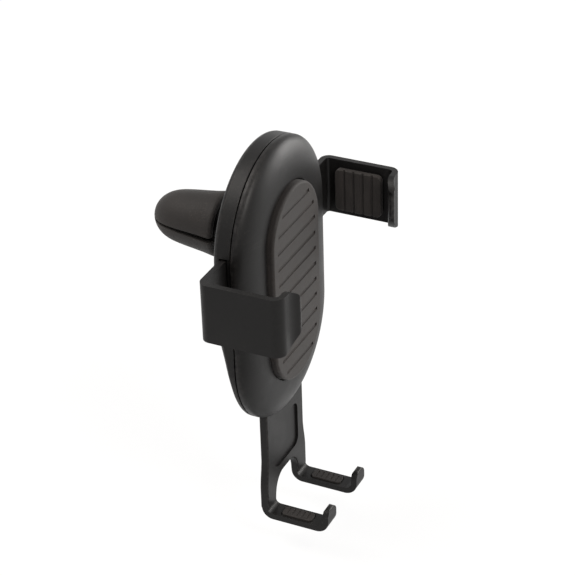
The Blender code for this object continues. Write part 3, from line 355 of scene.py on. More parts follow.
class HolderSizes(bpy.types.PropertyGroup):
    """Sizes of the finished pieces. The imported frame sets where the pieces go."""

    head_radius: length("Head radius", "Half the width of the head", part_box("rear_shell")[1].x)
    pad_radius: length("Pad radius", "Half the width of the pad on the head's front", 13.7 * MM)
    arm_thickness: length("Arm thickness", "Wall of the clamp arms", 1.6 * MM)
    arm_height: length("Arm height", "Height of the clamp arms' panels", 16.5 * MM)
    arm_edge: length("Arm edge", "Rounding of the clamp arms' edges", 0.42 * MM)
    hook_width: length("Hook width", "Width of each hook under the tray", 5.4 * MM)
    hook_thickness: length("Hook thickness", "Thickness of the hooks", 1.7 * MM)
    hook_edge: length("Hook edge", "Rounding of the hooks' edges", 0.35 * MM)
    tray_half_width: length("Tray half width", "Half the width of the sliding tray", 11.0 * MM)
    clip_length: length("Clip length", "Length of the rubber jaws", 20.3 * MM)
    clip_radius: length("Clip radius", "Largest radius of the rubber jaws", 8.8 * MM)
    nut_radius: length("Nut radius", "Outer radius of the ring nut", 7.4 * MM)


class HolderFinish(bpy.types.PropertyGroup):
    """Colours and surface of the holder's materials."""

    plastic: colour("Plastic", "Satin black of the arms, the head and the tray", (0.0054, 0.0051, 0.0050))
    plastic_worn: colour("Worn plastic", "Plastic where its edges are rubbed", (0.027, 0.025, 0.024))
    rubber: colour("Rubber", "Matt black of the pads and jaws", (0.0120, 0.0099, 0.0089))
    dust: colour("Dust", "Dust that settles on upward faces", (0.16, 0.145, 0.13))
    gear: colour("Gear plastic", "Off-white of the gear and the ball's seat", (0.60, 0.585, 0.53))
    steel: colour("Steel", "Zinc-coated steel of the screws", (0.56, 0.56, 0.57))
    grain: length("Grain", "Size of the moulded grain", 0.22 * MM)
    plastic_roughness: share("Plastic roughness", "How matt the plastic is", 0.40)
    rubber_roughness: share("Rubber roughness", "How matt the rubber is", 0.62)


class HolderStage(bpy.types.PropertyGroup):
    """Floor, lamps and surroundings."""

    floor: colour("Floor", "Colour of the pale floor", (0.93, 0.93, 0.93))
    floor_drop: length("Drop to the floor", "Gap that lets the hooks swing and slide down", 11.0 * MM)
    floor_glow: share("Floor white", "Share of plain white that the camera sees in the floor", 0.86)
    key_power: power("Key lamp", "Power of the main lamp", 8.0)
    fill_power: power("Fill lamp", "Power of the second lamp", 7.0)
    top_power: power("Top lamp", "Power of the lamp overhead", 7.0)


# Mesh code shared by the pieces.

# How near points have to be to become one.
WELD_DISTANCE = 0.003 * MM
# Largest bend between two faces that still counts as part of a rounding.
SMOOTH_BEND = math.radians(50.0)
# Bend, in radians a metre, that counts as fully rounded.
TIGHTEST_BEND = 900.0


def make_mesh(name, verts, faces):
    mesh = bpy.data.meshes.new(name)
    mesh.from_pydata([tuple(v) for v in verts], [], faces)
    mesh.validate()
    obj = bpy.data.objects.new(name, mesh)
    bpy.context.scene.collection.objects.link(obj)
    return obj


def turn_outwards(obj):
    """Turns every face of a closed mesh outwards."""
    mesh = obj.data
    mesh.calc_loop_triangles()
    volume = 0.0
    for triangle in mesh.loop_triangles:
        a, b, c = (mesh.vertices[i].co for i in triangle.vertices)
        volume += a.dot(b.cross(c))
    if volume < 0.0:
        mesh.flip_normals()
    return obj


def on_axis(axis, u, v, w):
    """Point from its place (u, v) on an outline and its place w along the axis."""
    if axis == "X":
        return (w, u, v)
    if axis == "Y":
        return (u, w, v)
    return (u, v, w)


def prism(name, outline, axis, low, high):
    """Outline drawn along an axis. Its points are (y, z) along X, (x, z) along Y and (x, y) along Z."""
    count = len(outline)
    verts = [on_axis(axis, u, v, low) for u, v in outline]
    verts += [on_axis(axis, u, v, high) for u, v in outline]
    faces = [tuple(reversed(range(count))), tuple(range(count, 2 * count))]
    for i in range(count):
        j = (i + 1) % count
        faces.append((i, j, count + j, count + i))
    return turn_outwards(make_mesh(name, verts, faces))


def strip_faces(start, count, top, flip):
    """Faces across a loop that is the same left and right, from its top point to its bottom one."""
    order = [start + (top + i) % count for i in range(count)]
    faces = [(order[0], order[1], order[-1])]
    for i in range(1, count // 2 - 1):
        faces.append((order[i], order[i + 1], order[count - i - 1], order[count - i]))
    faces.append((order[count // 2 - 1], order[count // 2], order[count // 2 + 1]))
    return [tuple(reversed(face)) for face in faces] if flip else faces


def loft(name, loops, closed=False, top=None):
    """Skin through loops of equal length, capped at both ends or joined into a ring."""
    count = len(loops[0])
    verts = [point for loop in loops for point in loop]
    faces = []
    last = len(loops) if closed else len(loops) - 1
    for k in range(last):
        a = k * count
        b = ((k + 1) % len(loops)) * count
        for i in range(count):
            j = (i + 1) % count
            faces.append((a + i, a + j, b + j, b + i))
    end = (len(loops) - 1) * count
    if top is not None:
        faces += strip_faces(0, count, top, True) + strip_faces(end, count, top, False)
    elif not closed:
        faces.append(tuple(reversed(range(count))))
        faces.append(tuple(range(end, end + count)))
    return turn_outwards(make_mesh(name, verts, faces))


def lathe(name, profile, centre, steps):
    """Profile points (radius, y) turned about the Y line through centre (x, z)."""
    loops = []
    for radius, y in profile:
        loop = []
        for i in range(steps):
            angle = 2.0 * math.pi * i / steps
            loop.append((centre[0] + radius * math.cos(angle), y, centre[1] + radius * math.sin(angle)))
        loops.append(loop)
    return loft(name, loops)


def cylinder(name, centre, radius, low, high, steps=48):
    """Cylinder along Y about centre (x, z)."""
    return lathe(name, [(radius, low), (radius, high)], centre, steps)


def block(name, low, high):
    """Box between two corners."""
    outline = [(low[0], low[1]), (high[0], low[1]), (high[0], high[1]), (low[0], high[1])]
    return prism(name, outline, "Z", low[2], high[2])


def arc(centre, radius, start, end, steps):
    points = []
    for i in range(steps + 1):
        angle = math.radians(start + (end - start) * i / steps)
        points.append((centre[0] + radius * math.cos(angle), centre[1] + radius * math.sin(angle)))
    return points


def rounded_rectangle(low, high, radius, steps=12):
    points = arc((high[0] - radius, low[1] + radius), radius, -90.0, 0.0, steps)
    points += arc((high[0] - radius, high[1] - radius), radius, 0.0, 90.0, steps)
    points += arc((low[0] + radius, high[1] - radius), radius, 90.0, 180.0, steps)
    points += arc((low[0] + radius, low[1] + radius), radius, 180.0, 270.0, steps)
    return points


def stadium(radius, sides=()):
    """Outline of the head in X and Z at one distance from its middle line."""
    points = arc((0.0, HEAD_UPPER_Z), radius, 0.0, 180.0, HEAD_STEPS)
    points += [(-radius, z) for z in sides]
    points += arc((0.0, HEAD_LOWER_Z), radius, 180.0, 360.0, HEAD_STEPS)
    points += [(radius, z) for z in reversed(sides)]
    return points


def filleted(points, radii, steps=14):
    """Centre line with each inner corner rounded to its radius."""
    path = [Vector(points[0])]
    for k in range(1, len(points) - 1):
        here = Vector(points[k])
        before = (Vector(points[k - 1]) - here).normalized()
        after = (Vector(points[k + 1]) - here).normalized()
        half = before.angle(after) / 2.0
        reach = radii[k - 1] / math.tan(half)
        centre = here + (before + after).normalized() * (radii[k - 1] / math.sin(half))
        first = here + before * reach - centre
        last = here + after * reach - centre
        sweep = math.atan2(first.x * last.y - first.y * last.x, first.dot(last))
        for i in range(steps + 1):
            turned = first.copy()
            turned.rotate(Matrix.Rotation(sweep * i / steps, 2))
            path.append(centre + turned)
    path.append(Vector(points[-1]))
    return path


def band(path, thickness, cap_steps=12):
    """Closed outline of constant thickness about a centre line, square at its start, round at its end."""
    half = thickness / 2.0
    left = []
    right = []
    for k, here in enumerate(path):
        first = (here - path[k - 1]).normalized() if k else (path[1] - here).normalized()
        second = (path[k + 1] - here).normalized() if k < len(path) - 1 else first
        normal = (first + second).normalized()
        scale = 1.0 / max(0.5, normal.dot(first))
        side = Vector((-normal.y, normal.x)) * (half * scale)
        left.append(here + side)
        right.append(here - side)
    ahead = (path[-1] - path[-2]).normalized()
    across = Vector((-ahead.y, ahead.x))
    cap = []
    for i in range(1, cap_steps):
        angle = math.pi * i / cap_steps
        cap.append(path[-1] + across * (half * math.cos(angle)) + ahead * (half * math.sin(angle)))
    return [(p.x, p.y) for p in left + cap + right[::-1]]


def corner_cutter(name, corner, inward, radius, low, high):
    """What lies outside a rounded corner, as a shape along Y. Inward gives the signs of X and Z."""
    over = 1.5 * MM
    steps = 18
    sx, sz = inward
    cx = corner[0] + sx * (radius - SKIN)
    cz = corner[1] + sz * (radius - SKIN)
    outline = []
    for i in range(steps + 1):
        angle = math.radians(90.0 * i / steps)
        outline.append((cx - sx * radius * math.cos(angle), cz - sz * radius * math.sin(angle)))
    outline.append((cx, corner[1] - sz * over))
    outline.append((corner[0] - sx * over, corner[1] - sz * over))
    outline.append((corner[0] - sx * over, cz))
    return prism(name, outline, "Y", low, high)


def groove_section(steps, along, surface, inward):
    """Section across a groove: down its steps of (depth, half width) in millimetres, and up again."""
    down = [(surface + inward * depth * MM, along - half * MM) for depth, half in steps]
    up = [(surface + inward * depth * MM, along + half * MM) for depth, half in reversed(steps) if half]
    return down + up


def between(low, high, count):
    """Evenly spaced places between two ends, without the ends."""
    return [low + (high - low) * (k + 1) / (count + 1) for k in range(count)]


def combine(obj, other, operation):
    modifier = obj.modifiers.new(other.name, "BOOLEAN")
    modifier.operation = operation
    modifier.solver = "EXACT"
    modifier.object = other


def cut(obj, other):
    """Takes another shape out of an object when the object is settled."""
    combine(obj, other, "DIFFERENCE")


def fuse(obj, other):
    """Joins another shape to an object when the object is settled."""
    combine(obj, other, "UNION")


def soften(obj, width, segments=4, angle=50.0):
    """Rounds the edges that bend by more than an angle when the object is settled."""
    modifier = obj.modifiers.new("edge_round", "BEVEL")
    modifier.width = width
    modifier.segments = segments
    modifier.limit_method = "ANGLE"
    modifier.angle_limit = math.radians(angle)


def settle(obj, angle=32.0, finished=True):
    """Applies an object's modifiers, removes the shapes that they used, and shades it smoothly."""
    weld = obj.modifiers.new("weld", "WELD")
    weld.merge_threshold = WELD_DISTANCE
    graph = bpy.context.evaluated_depsgraph_get()
    mesh = bpy.data.meshes.new_from_object(obj.evaluated_get(graph))
    mesh.name = obj.name
    used = [modifier.object for modifier in obj.modifiers if modifier.type == "BOOLEAN"]
    obj.modifiers.clear()
    obj.data = mesh
    for other in used:
        bpy.data.objects.remove(other, do_unlink=True)
    mesh.shade_smooth()
    mesh.set_sharp_from_angle(angle=math.radians(angle))
    mark_roundings(mesh)
    if finished:
        weighted = obj.modifiers.new("even_shading", "WEIGHTED_NORMAL")
        weighted.keep_sharp = True
        weighted.weight = 80
    return obj


def mark_roundings(mesh):
    """Marks each face with how tightly it bends outwards, from 0 on flats to 1 on the rounded edges."""
    bends = [0.0] * len(mesh.polygons)
    beside = {}
    for face in mesh.polygons:
        for key in face.edge_keys:
            beside.setdefault(key, []).append(face.index)
    for (a, b), faces in beside.items():
        if len(faces) != 2:
            continue
        first, second = (mesh.polygons[i] for i in faces)
        angle = first.normal.angle(second.normal, 0.0)
        outward = (second.center - first.center).dot(first.normal) < 0.0
        if outward and angle < SMOOTH_BEND:
            reach = (mesh.vertices[a].co - mesh.vertices[b].co).length * angle / 2.0
            bends[faces[0]] += reach
            bends[faces[1]] += reach
    smallest = 1e-12
    values = [min(1.0, bend / max(face.area, smallest) / TIGHTEST_BEND)
              for bend, face in zip(bends, mesh.polygons)]
    old = mesh.attributes.get("rounding")
    if old:
        mesh.attributes.remove(old)
    mesh.attributes.new("rounding", "FLOAT", "FACE").data.foreach_set("value", values)


def place(obj, body, node, material):
    """Hands a finished piece to the frame in place of its CAD node."""
    obj.data.materials.clear()
    obj.data.materials.append(material)
    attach(obj, body)
    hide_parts(node)


def dress(node, material):
    """Gives a CAD node that is shown as it is its finished material."""
    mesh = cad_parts[node].data
    for index in range(max(1, len(mesh.materials))):
        if index < len(mesh.materials):
            mesh.materials[index] = material
        else:
            mesh.materials.append(material)


# Shader groups, each built once.

class Graph:
    """Short way to add and join the nodes of one shader tree."""

    def __init__(self, tree):
        self.tree = tree
        self.nodes = tree.nodes

    def add(self, kind, links=(), **settings):
        node = self.nodes.new(kind)
        for key, value in settings.items():
            setattr(node, key, value)
        for socket, source in dict(links).items():
            self.join(source, node.inputs[socket])
        return node

    def join(self, source, socket):
        if isinstance(source, bpy.types.NodeSocket):
            self.tree.links.new(source, socket)
        else:
            socket.default_value = source

    def maths(self, operation, first, second=0.0, third=0.0):
        node = self.nodes.new("ShaderNodeMath")
        node.operation = operation
        for index, value in enumerate((first, second, third)):
            self.join(value, node.inputs[index])
        return node.outputs[0]

    def span(self, value, low, high):
        """0 at and below the low value, 1 at and above the high one, with a smooth rise between."""
        node = self.add("ShaderNodeMapRange", interpolation_type="SMOOTHSTEP")
        for index, item in enumerate((value, low, high)):
            self.join(item, node.inputs[index])
        return node.outputs[0]

    def blend(self, amount, first, second):
        node = self.add("ShaderNodeMix", data_type="RGBA")
        self.join(amount, node.inputs["Factor"])
        self.join(first, node.inputs["A"])
        self.join(second, node.inputs["B"])
        return node.outputs["Result"]


def group_of(name, inputs, outputs, build):
    """Shader group with named inputs and outputs, made the first time that it is asked for."""
    tree = bpy.data.node_groups.get(name)
    if tree:
        return tree
    tree = bpy.data.node_groups.new(name, "ShaderNodeTree")
    for label, value in inputs:
        socket = tree.interface.new_socket(name=label, in_out="INPUT", socket_type="NodeSocketFloat")
        socket.default_value = value
    for label in outputs:
        tree.interface.new_socket(name=label, in_out="OUTPUT", socket_type="NodeSocketFloat")
    graph = Graph(tree)
    source = tree.nodes.new("NodeGroupInput")
    sink = tree.nodes.new("NodeGroupOutput")
    for label, value in zip(outputs, build(graph, source.outputs)):
        graph.join(value, sink.inputs[label])
    return tree


def scaled_place(graph, size, stretch=(1.0, 1.0, 1.0)):
    """Place on the object, counted in units of one size."""
    where = graph.add("ShaderNodeTexCoord").outputs["Object"]
    shaped = graph.add("ShaderNodeVectorMath", {0: where, 1: stretch}, operation="MULTIPLY").outputs[0]
    count = graph.maths("DIVIDE", 1.0, size)
    return graph.add("ShaderNodeVectorMath", {0: shaped, "Scale": count}, operation="SCALE").outputs[0]


def noise(graph, size, detail, stretch=(1.0, 1.0, 1.0), **inputs):
    """Noise with spots of one size, from 0 to 1."""
    links = {"Vector": scaled_place(graph, size, stretch), "Scale": 1.0, "Detail": detail, **inputs}
    return graph.add("ShaderNodeTexNoise", links).outputs[0]


def moulded_grain():
    """Fine grain of a spark-eroded mould, as a height, and shallow waves of the wall."""
    def build(graph, given):
        fine = noise(graph, given["Size"], 3.0, Roughness=0.6)
        cells = graph.add("ShaderNodeTexVoronoi",
                          {"Vector": scaled_place(graph, given["Size"]), "Scale": 0.8},
                          feature="SMOOTH_F1")
        waves = noise(graph, graph.maths("MULTIPLY", given["Size"], 60.0), 1.0)
        return graph.maths("MULTIPLY_ADD", cells.outputs["Distance"], 0.45, fine), waves
    return group_of("Moulded Grain", (("Size", 0.0002),), ("Height", "Waves"), build)


def handling_marks():
    """Patches left by fingers, and hairline scratches."""
    def build(graph, given):
        patches = noise(graph, given["Patch Size"], 4.0, Roughness=0.55, Distortion=0.6)
        patch = graph.span(patches, 0.42, 0.68)
        lines = noise(graph, given["Scratch Size"], 2.0, (0.05, 0.3, 1.0), Distortion=0.3)
        near = graph.maths("ABSOLUTE", graph.maths("SUBTRACT", lines, 0.5))
        scratch = graph.maths("SUBTRACT", 1.0, graph.span(near, 0.0, 0.012))
        return patch, graph.maths("MULTIPLY", scratch, patch)
    return group_of("Handling Marks", (("Patch Size", 0.009), ("Scratch Size", 0.0016)),
                    ("Patches", "Scratches"), build)


def edge_rub():
    """Where the pieces' rounded edges are rubbed, broken up by noise."""
    def build(graph, given):
        sharp = graph.add("ShaderNodeAttribute", attribute_name="rounding").outputs["Fac"]
        worn = graph.span(sharp, 0.25, 1.0)
        broken = graph.span(noise(graph, 0.0011, 4.0), 0.38, 0.62)
        return (graph.maths("MULTIPLY", graph.maths("MULTIPLY", worn, broken), given["Amount"]),)
    return group_of("Edge Rub", (("Amount", 0.5),), ("Mask",), build)


def settled_dust():
    """Thin dust on faces that look up."""
    def build(graph, given):
        normal = graph.add("ShaderNodeNewGeometry").outputs["Normal"]
        up = graph.add("ShaderNodeSeparateXYZ", {0: normal}).outputs["Z"]
        lies = graph.span(up, 0.05, 0.95)
        speck = graph.span(noise(graph, 0.00035, 5.0, Roughness=0.7), 0.48, 0.72)
        drift = graph.span(noise(graph, 0.006, 3.0), 0.3, 0.75)
        mask = graph.maths("MULTIPLY", graph.maths("MULTIPLY", lies, speck), drift)
        return (graph.maths("MULTIPLY", mask, given["Amount"]),)
    return group_of("Settled Dust", (("Amount", 0.3),), ("Mask",), build)


def use(graph, tree, **values):
    node = graph.add("ShaderNodeGroup", node_tree=tree)
    for label, value in values.items():
        graph.join(value, node.inputs[label.replace("_", " ")])
    return node.outputs


def new_material(name, display):
    material = bpy.data.materials.new(name)
    material.use_nodes = True
    material.diffuse_color = (*display, 1.0)
    graph = Graph(material.node_tree)
    return material, graph, material.node_tree.nodes["Principled BSDF"].inputs


def bump_of(graph, height, distance, strength=1.0, under=None):
    node = graph.add("ShaderNodeBump", {"Height": height})
    node.inputs["Distance"].default_value = distance
    node.inputs["Strength"].default_value = strength
    if under:
        graph.join(under, node.inputs["Normal"])
    return node.outputs[0]


def tinted(colour, factor):
    return [factor * c for c in colour]


def set_colour(graph, shader, base, layers):
    """Lays colours over a base colour, each where its mask says, and gives the result to the shader."""
    result = (*base, 1.0)
    for mask, colour in layers:
        result = graph.blend(mask, result, (*colour, 1.0))
    graph.join(result, shader["Base Color"])


def set_roughness(graph, shader, rough, changes):
    """Changes a roughness by a share of each mask and gives the result to the shader."""
    for mask, change in changes:
        rough = graph.maths("MULTIPLY_ADD", mask, change, rough)
    graph.join(rough, shader["Roughness"])


def satin_plastic():
    """Satin black moulded plastic with a fine grain, finger marks and rubbed edges."""
    name = "satin black plastic"
    if name in bpy.data.materials:
        return bpy.data.materials[name]
    look = bpy.context.scene.holder_finish
    material, graph, shader = new_material(name, look.plastic)
    grain = use(graph, moulded_grain(), Size=look.grain)
    marks = use(graph, handling_marks(), Patch_Size=0.009, Scratch_Size=0.0016)
    rub = use(graph, edge_rub(), Amount=0.55)
    dust = use(graph, settled_dust(), Amount=0.16)
    set_colour(graph, shader, look.plastic, (
        (graph.maths("MULTIPLY", marks["Patches"], 0.35), tinted(look.plastic, 1.35)),
        (rub["Mask"], look.plastic_worn),
        (graph.maths("MULTIPLY", marks["Scratches"], 0.25), look.plastic_worn),
        (dust["Mask"], look.dust)))
    set_roughness(graph, shader, look.plastic_roughness, (
        (marks["Patches"], -0.05), (grain["Height"], 0.07), (rub["Mask"], -0.10), (dust["Mask"], 0.6)))
    wall = bump_of(graph, grain["Waves"], 0.03 * MM, 0.5)
    graph.join(bump_of(graph, grain["Height"], 0.022 * MM, 0.75, wall), shader["Normal"])
    shader["IOR"].default_value = 1.27
    return material


def matt_rubber(name, rougher=0.0):
    """Matt black rubber with a dull bloom, small pits and lint."""
    if name in bpy.data.materials:
        return bpy.data.materials[name]
    look = bpy.context.scene.holder_finish
    material, graph, shader = new_material(name, look.rubber)
    grain = use(graph, moulded_grain(), Size=1.6 * look.grain)
    marks = use(graph, handling_marks(), Patch_Size=0.006, Scratch_Size=0.003)
    rub = use(graph, edge_rub(), Amount=0.3)
    dust = use(graph, settled_dust(), Amount=0.30)
    set_colour(graph, shader, look.rubber, (
        (graph.maths("MULTIPLY", marks["Patches"], 0.5), tinted(look.rubber, 1.7)),
        (rub["Mask"], look.plastic_worn),
        (dust["Mask"], look.dust)))
    set_roughness(graph, shader, look.rubber_roughness + rougher, (
        (marks["Patches"], 0.08), (dust["Mask"], 0.4)))
    wall = bump_of(graph, grain["Waves"], 0.05 * MM, 0.5)
    graph.join(bump_of(graph, grain["Height"], 0.035 * MM, 0.8, wall), shader["Normal"])
    shader["IOR"].default_value = 1.33
    shader["Sheen Weight"].default_value = 0.06
    shader["Sheen Roughness"].default_value = 0.5
    return material


def gear_plastic():
    """Off-white bearing plastic, waxy, with flow marks and a little grease."""
    name = "off-white gear plastic"
    if name in bpy.data.materials:
        return bpy.data.materials[name]
    look = bpy.context.scene.holder_finish
    material, graph, shader = new_material(name, look.gear)
    grain = use(graph, moulded_grain(), Size=2.0 * look.grain)
    marks = use(graph, handling_marks(), Patch_Size=0.004, Scratch_Size=0.0012)
    set_colour(graph, shader, look.gear, (
        (graph.maths("MULTIPLY", marks["Patches"], 0.6), tinted(look.gear, 0.84)),
        (graph.maths("MULTIPLY", marks["Scratches"], 0.4), GREASE)))
    set_roughness(graph, shader, 0.46, ((marks["Patches"], -0.14),))
    graph.join(bump_of(graph, grain["Height"], 0.012 * MM, 0.6), shader["Normal"])
    shader["Subsurface Weight"].default_value = 0.08
    shader["Subsurface Scale"].default_value = 1.2 * MM
    return material


def screw_steel():
    """Zinc-coated steel with dull spots."""
    name = "zinc-coated steel"
    if name in bpy.data.materials:
        return bpy.data.materials[name]
    look = bpy.context.scene.holder_finish
    material, graph, shader = new_material(name, look.steel)
    marks = use(graph, handling_marks(), Patch_Size=0.0016, Scratch_Size=0.0005)
    grain = use(graph, moulded_grain(), Size=0.5 * look.grain)
    set_colour(graph, shader, look.steel, ((marks["Patches"], tinted(look.steel, 0.7)),))
    set_roughness(graph, shader, 0.26, ((marks["Patches"], 0.18),))
    graph.join(bump_of(graph, grain["Height"], 0.006 * MM, 0.6), shader["Normal"])
    shader["Metallic"].default_value = 1.0
    return material


# The pieces.

def rack_profile(start, end, phase):
    """Rack teeth as (along, depth) with depth 0 at the root, teeth centred at phase plus whole pitches."""
    slope = math.tan(GEAR_FLANK)
    height = GEAR_ADDENDUM + GEAR_DEDENDUM
    root_half = TOOTH_WIDTH / 2.0 + GEAR_DEDENDUM * slope
    tip_half = TOOTH_WIDTH / 2.0 - GEAR_ADDENDUM * slope
    points = []
    first = math.ceil((start + root_half - phase) / GEAR_PITCH)
    last = math.floor((end - root_half - phase) / GEAR_PITCH)
    for k in range(first, last + 1):
        middle = phase + k * GEAR_PITCH
        points += [(middle - root_half, 0.0), (middle - tip_half, height)]
        points += [(middle + tip_half, height), (middle + root_half, 0.0)]
    return points


def build_arm(name, side):
    """Clamp arm: plate, panel and flared lip, and a rack bar past the gear. Side is -1 or 1."""
    sizes = bpy.context.scene.holder_sizes
    thick = sizes.arm_thickness
    half = thick / 2.0
    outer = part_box("right_arm")[1].x
    panel_x = outer - half
    inner_x = outer - thick
    bend_x = inner_x - LIP_REACH
    tip_x = bend_x - LIP_FLARE_IN
    tip_y = LIP_Y - LIP_FLARE_FORWARD
    middle_y = (ARM_FRONT_Y + ARM_BACK_Y) / 2.0
    corners = [(side * (sizes.head_radius + ARM_BAND_GAP), middle_y), (side * panel_x, middle_y),
               (side * panel_x, LIP_Y), (side * bend_x, LIP_Y), (side * tip_x, tip_y)]
    path = filleted(corners, (ARM_REAR_RADIUS - half, ARM_FRONT_RADIUS - half, LIP_BEND_RADIUS))
    bottom = ARM_Z - sizes.arm_height / 2.0
    top = ARM_Z + sizes.arm_height / 2.0
    arm = prism(name, band(path, thick), "Z", bottom, top)
    end = side * (tip_x - half)
    start = tip_y - LIP_CORNER_BEFORE
    stop = LIP_Y + half + LIP_CORNER_PAST
    cut(arm, corner_cutter("cut_top", (end, top), (side, -1.0), LIP_TOP_CORNER, start, stop))
    cut(arm, corner_cutter("cut_low", (end, bottom), (side, 1.0), LIP_LOWER_CORNER, start, stop))
    soften(arm, sizes.arm_edge)
    settle(arm, finished=False)

    edge = sizes.arm_height / 2.0 - SKIN
    plate_x = sizes.head_radius
    rise = RACK_ROOT + RACK_BAR_WIDTH
    far = -(inner_x - ARM_PLATE_GAP)
    teeth = rack_profile(-ARM_NECK_X, BAR_END_X, GEAR_PITCH / 2.0)
    outline = [(far, -edge), (-plate_x, -edge), (-plate_x, ARM_NECK_STEP - edge)]
    outline += [(-ARM_NECK_X, ARM_NECK_STEP - edge), (-ARM_NECK_X, RACK_ROOT)]
    outline += [(along, RACK_ROOT - deep) for along, deep in teeth]
    outline += [(BAR_END_X, RACK_ROOT), (BAR_END_X, rise - BAR_CORNER), (BAR_END_X - BAR_CORNER, rise)]
    outline += [(BAR_CORNER - BAR_START_X, rise), (-BAR_START_X, rise - BAR_CORNER)]
    outline += [(-BAR_START_X, ARM_NECK_TOP), (-plate_x, ARM_NECK_TOP), (-plate_x, edge), (far, edge)]
    placed = [(-side * x, ARM_Z - side * z) for x, z in outline]
    bar = prism("rack", placed, "Y", ARM_FRONT_Y + SKIN, ARM_BACK_Y - SKIN)
    soften(bar, BAR_EDGE, 2, 60.0)
    settle(bar, finished=False)
    fuse(arm, bar)
    return settle(arm)


class HOLDER_OT_arms(bpy.types.Operator):
    """Builds the two clamp arms with their rack bars"""

    bl_idname = "holder.arms"
    bl_label = "Clamp arms"

    def execute(self, context):
        for name, side, body in (("left_arm", -1.0, "left_clamp"), ("right_arm", 1.0, "right_clamp")):
            place(build_arm(name + "_finished", side), body, name, satin_plastic())
        return {"FINISHED"}


class HOLDER_OT_arm_pads(bpy.types.Operator):
    """Builds the grooved rubber pads inside the arms"""

    bl_idname = "holder.arm_pads"
    bl_label = "Arm pads"

    def execute(self, context):
        for name, side, body in (("left_arm_pad", -1.0, "left_clamp"),
                                 ("right_arm_pad", 1.0, "right_clamp")):
            low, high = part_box(name)
            outline = rounded_rectangle((low.y, low.z), (high.y, high.z), ARM_PAD_CORNER)
            pad = prism(name + "_finished", outline, "X", low.x, high.x)
            soften(pad, ARM_PAD_EDGE)
            grip_x = high.x if side < 0 else low.x
            for y in between(low.y, high.y, ARM_PAD_GROOVES):
                shape = groove_section(ARM_PAD_GROOVE, y, grip_x, side)
                cut(pad, prism("pad_groove", shape, "Z", low.z - OVER, high.z + OVER))
            settle(pad)
            place(pad, body, name, matt_rubber("matt rubber pads", PAD_ROUGHER))
        return {"FINISHED"}


def build_hook(side, hook_x, floor_z):
    """One J-shaped hook under the tray, with a rounded tip. Side is -1 or 1."""
    sizes = bpy.context.scene.holder_sizes
    thick = sizes.hook_thickness
    half = sizes.hook_width / 2.0
    middle_y = (TRAY_FRONT_Y + TRAY_BACK_Y) / 2.0
    tip_z = floor_z + HOOK_TIP_RISE
    corners = [(middle_y, floor_z + HOOK_ROOT_RISE), (middle_y, floor_z), (HOOK_LIP_Y, floor_z),
               (HOOK_LIP_Y, tip_z)]
    path = filleted(corners, (HOOK_REAR_BEND, HOOK_FRONT_BEND))
    low_x = side * hook_x - half
    high_x = side * hook_x + half
    hook = prism("hook", band(path, thick), "X", low_x, high_x)
    top = tip_z + thick / 2.0
    for name, x, inward in (("cut_1", low_x, 1.0), ("cut_2", high_x, -1.0)):
        cut(hook, corner_cutter(name, (x, top), (inward, -1.0), half - SKIN, HOOK_LIP_Y - thick,
                                HOOK_LIP_Y + thick))
    soften(hook, sizes.hook_edge)
    return settle(hook, finished=False)


def build_tray():
    """Sliding tray: plate with a window that holds the rack, arched foot and two hooks."""
    sizes = bpy.context.scene.holder_sizes
    wide = sizes.tray_half_width
    hook_x = wide - HOOK_INSET
    hook_half = sizes.hook_width / 2.0
    floor_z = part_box("bottom_tray")[0].z + sizes.hook_thickness / 2.0
    bottom = floor_z + TRAY_LOWER_EDGE
    foot = hook_x + hook_half - TRAY_FOOT_INSET
    leg = hook_x - hook_half + TRAY_LEG_INSET
    right = []
    for start, steps in ((leg, TRAY_ARCH), (foot, TRAY_FOOT), (wide, TRAY_FLARE)):
        right += [(start + x * MM, bottom + up * MM) for x, up in steps]
    corner_x = wide - TRAY_CORNER
    corner_z = TRAY_TOP_Z - TRAY_CORNER
    outline = right + arc((corner_x, corner_z), TRAY_CORNER, 0.0, 90.0, 12)
    outline += arc((-corner_x, corner_z), TRAY_CORNER, 90.0, 180.0, 12)
    outline += [(-x, z) for x, z in reversed(right)]
    tray = prism("bottom_tray_finished", outline, "Y", TRAY_FRONT_Y, TRAY_BACK_Y)
    soften(tray, TRAY_EDGE, 3, 40.0)
    low = ARM_Z - TRAY_WINDOW_DROP
    high = ARM_Z + TRAY_WINDOW_RISE
    window = [(TRAY_WINDOW_X, high), (TRAY_WINDOW_X, low), (RACK_ROOT, low)]
    window += [(RACK_ROOT - deep, along) for along, deep in rack_profile(low, high, ARM_Z)]
    window += [(RACK_ROOT, high)]
    cut(tray, prism("window", window, "Y", TRAY_FRONT_Y - OVER, TRAY_BACK_Y + OVER))
    side_x = wide - TRAY_PANEL_MARGIN
    panel_z = bottom + TRAY_PANEL_RISE
    panel = rounded_rectangle((-side_x, panel_z), (side_x, panel_z + TRAY_PANEL_HEIGHT), TRAY_PANEL_CORNER)
    cut(tray, prism("panel", panel, "Y", TRAY_FRONT_Y - OVER, TRAY_FRONT_Y + TRAY_PANEL_DEPTH))
    settle(tray, finished=False)
    for side, pad in ((-1.0, "left_hook_pad"), (1.0, "right_hook_pad")):
        fuse(tray, build_hook(side, hook_x, floor_z))
        pad_low, pad_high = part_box(pad)
        pocket = rounded_rectangle((pad_low.x - CLEAR, pad_low.y - CLEAR),
                                   (pad_high.x + CLEAR, pad_high.y + CLEAR), POCKET_CORNER)
        cut(tray, prism("pocket", pocket, "Z", pad_low.z - CLEAR, floor_z + POCKET_TOP))
    return settle(tray)


class HOLDER_OT_tray(bpy.types.Operator):
    """Builds the sliding tray with its inner rack and two hooks"""

    bl_idname = "holder.tray"
    bl_label = "Sliding tray"

    def execute(self, context):
        place(build_tray(), "tray", "bottom_tray", satin_plastic())
        return {"FINISHED"}


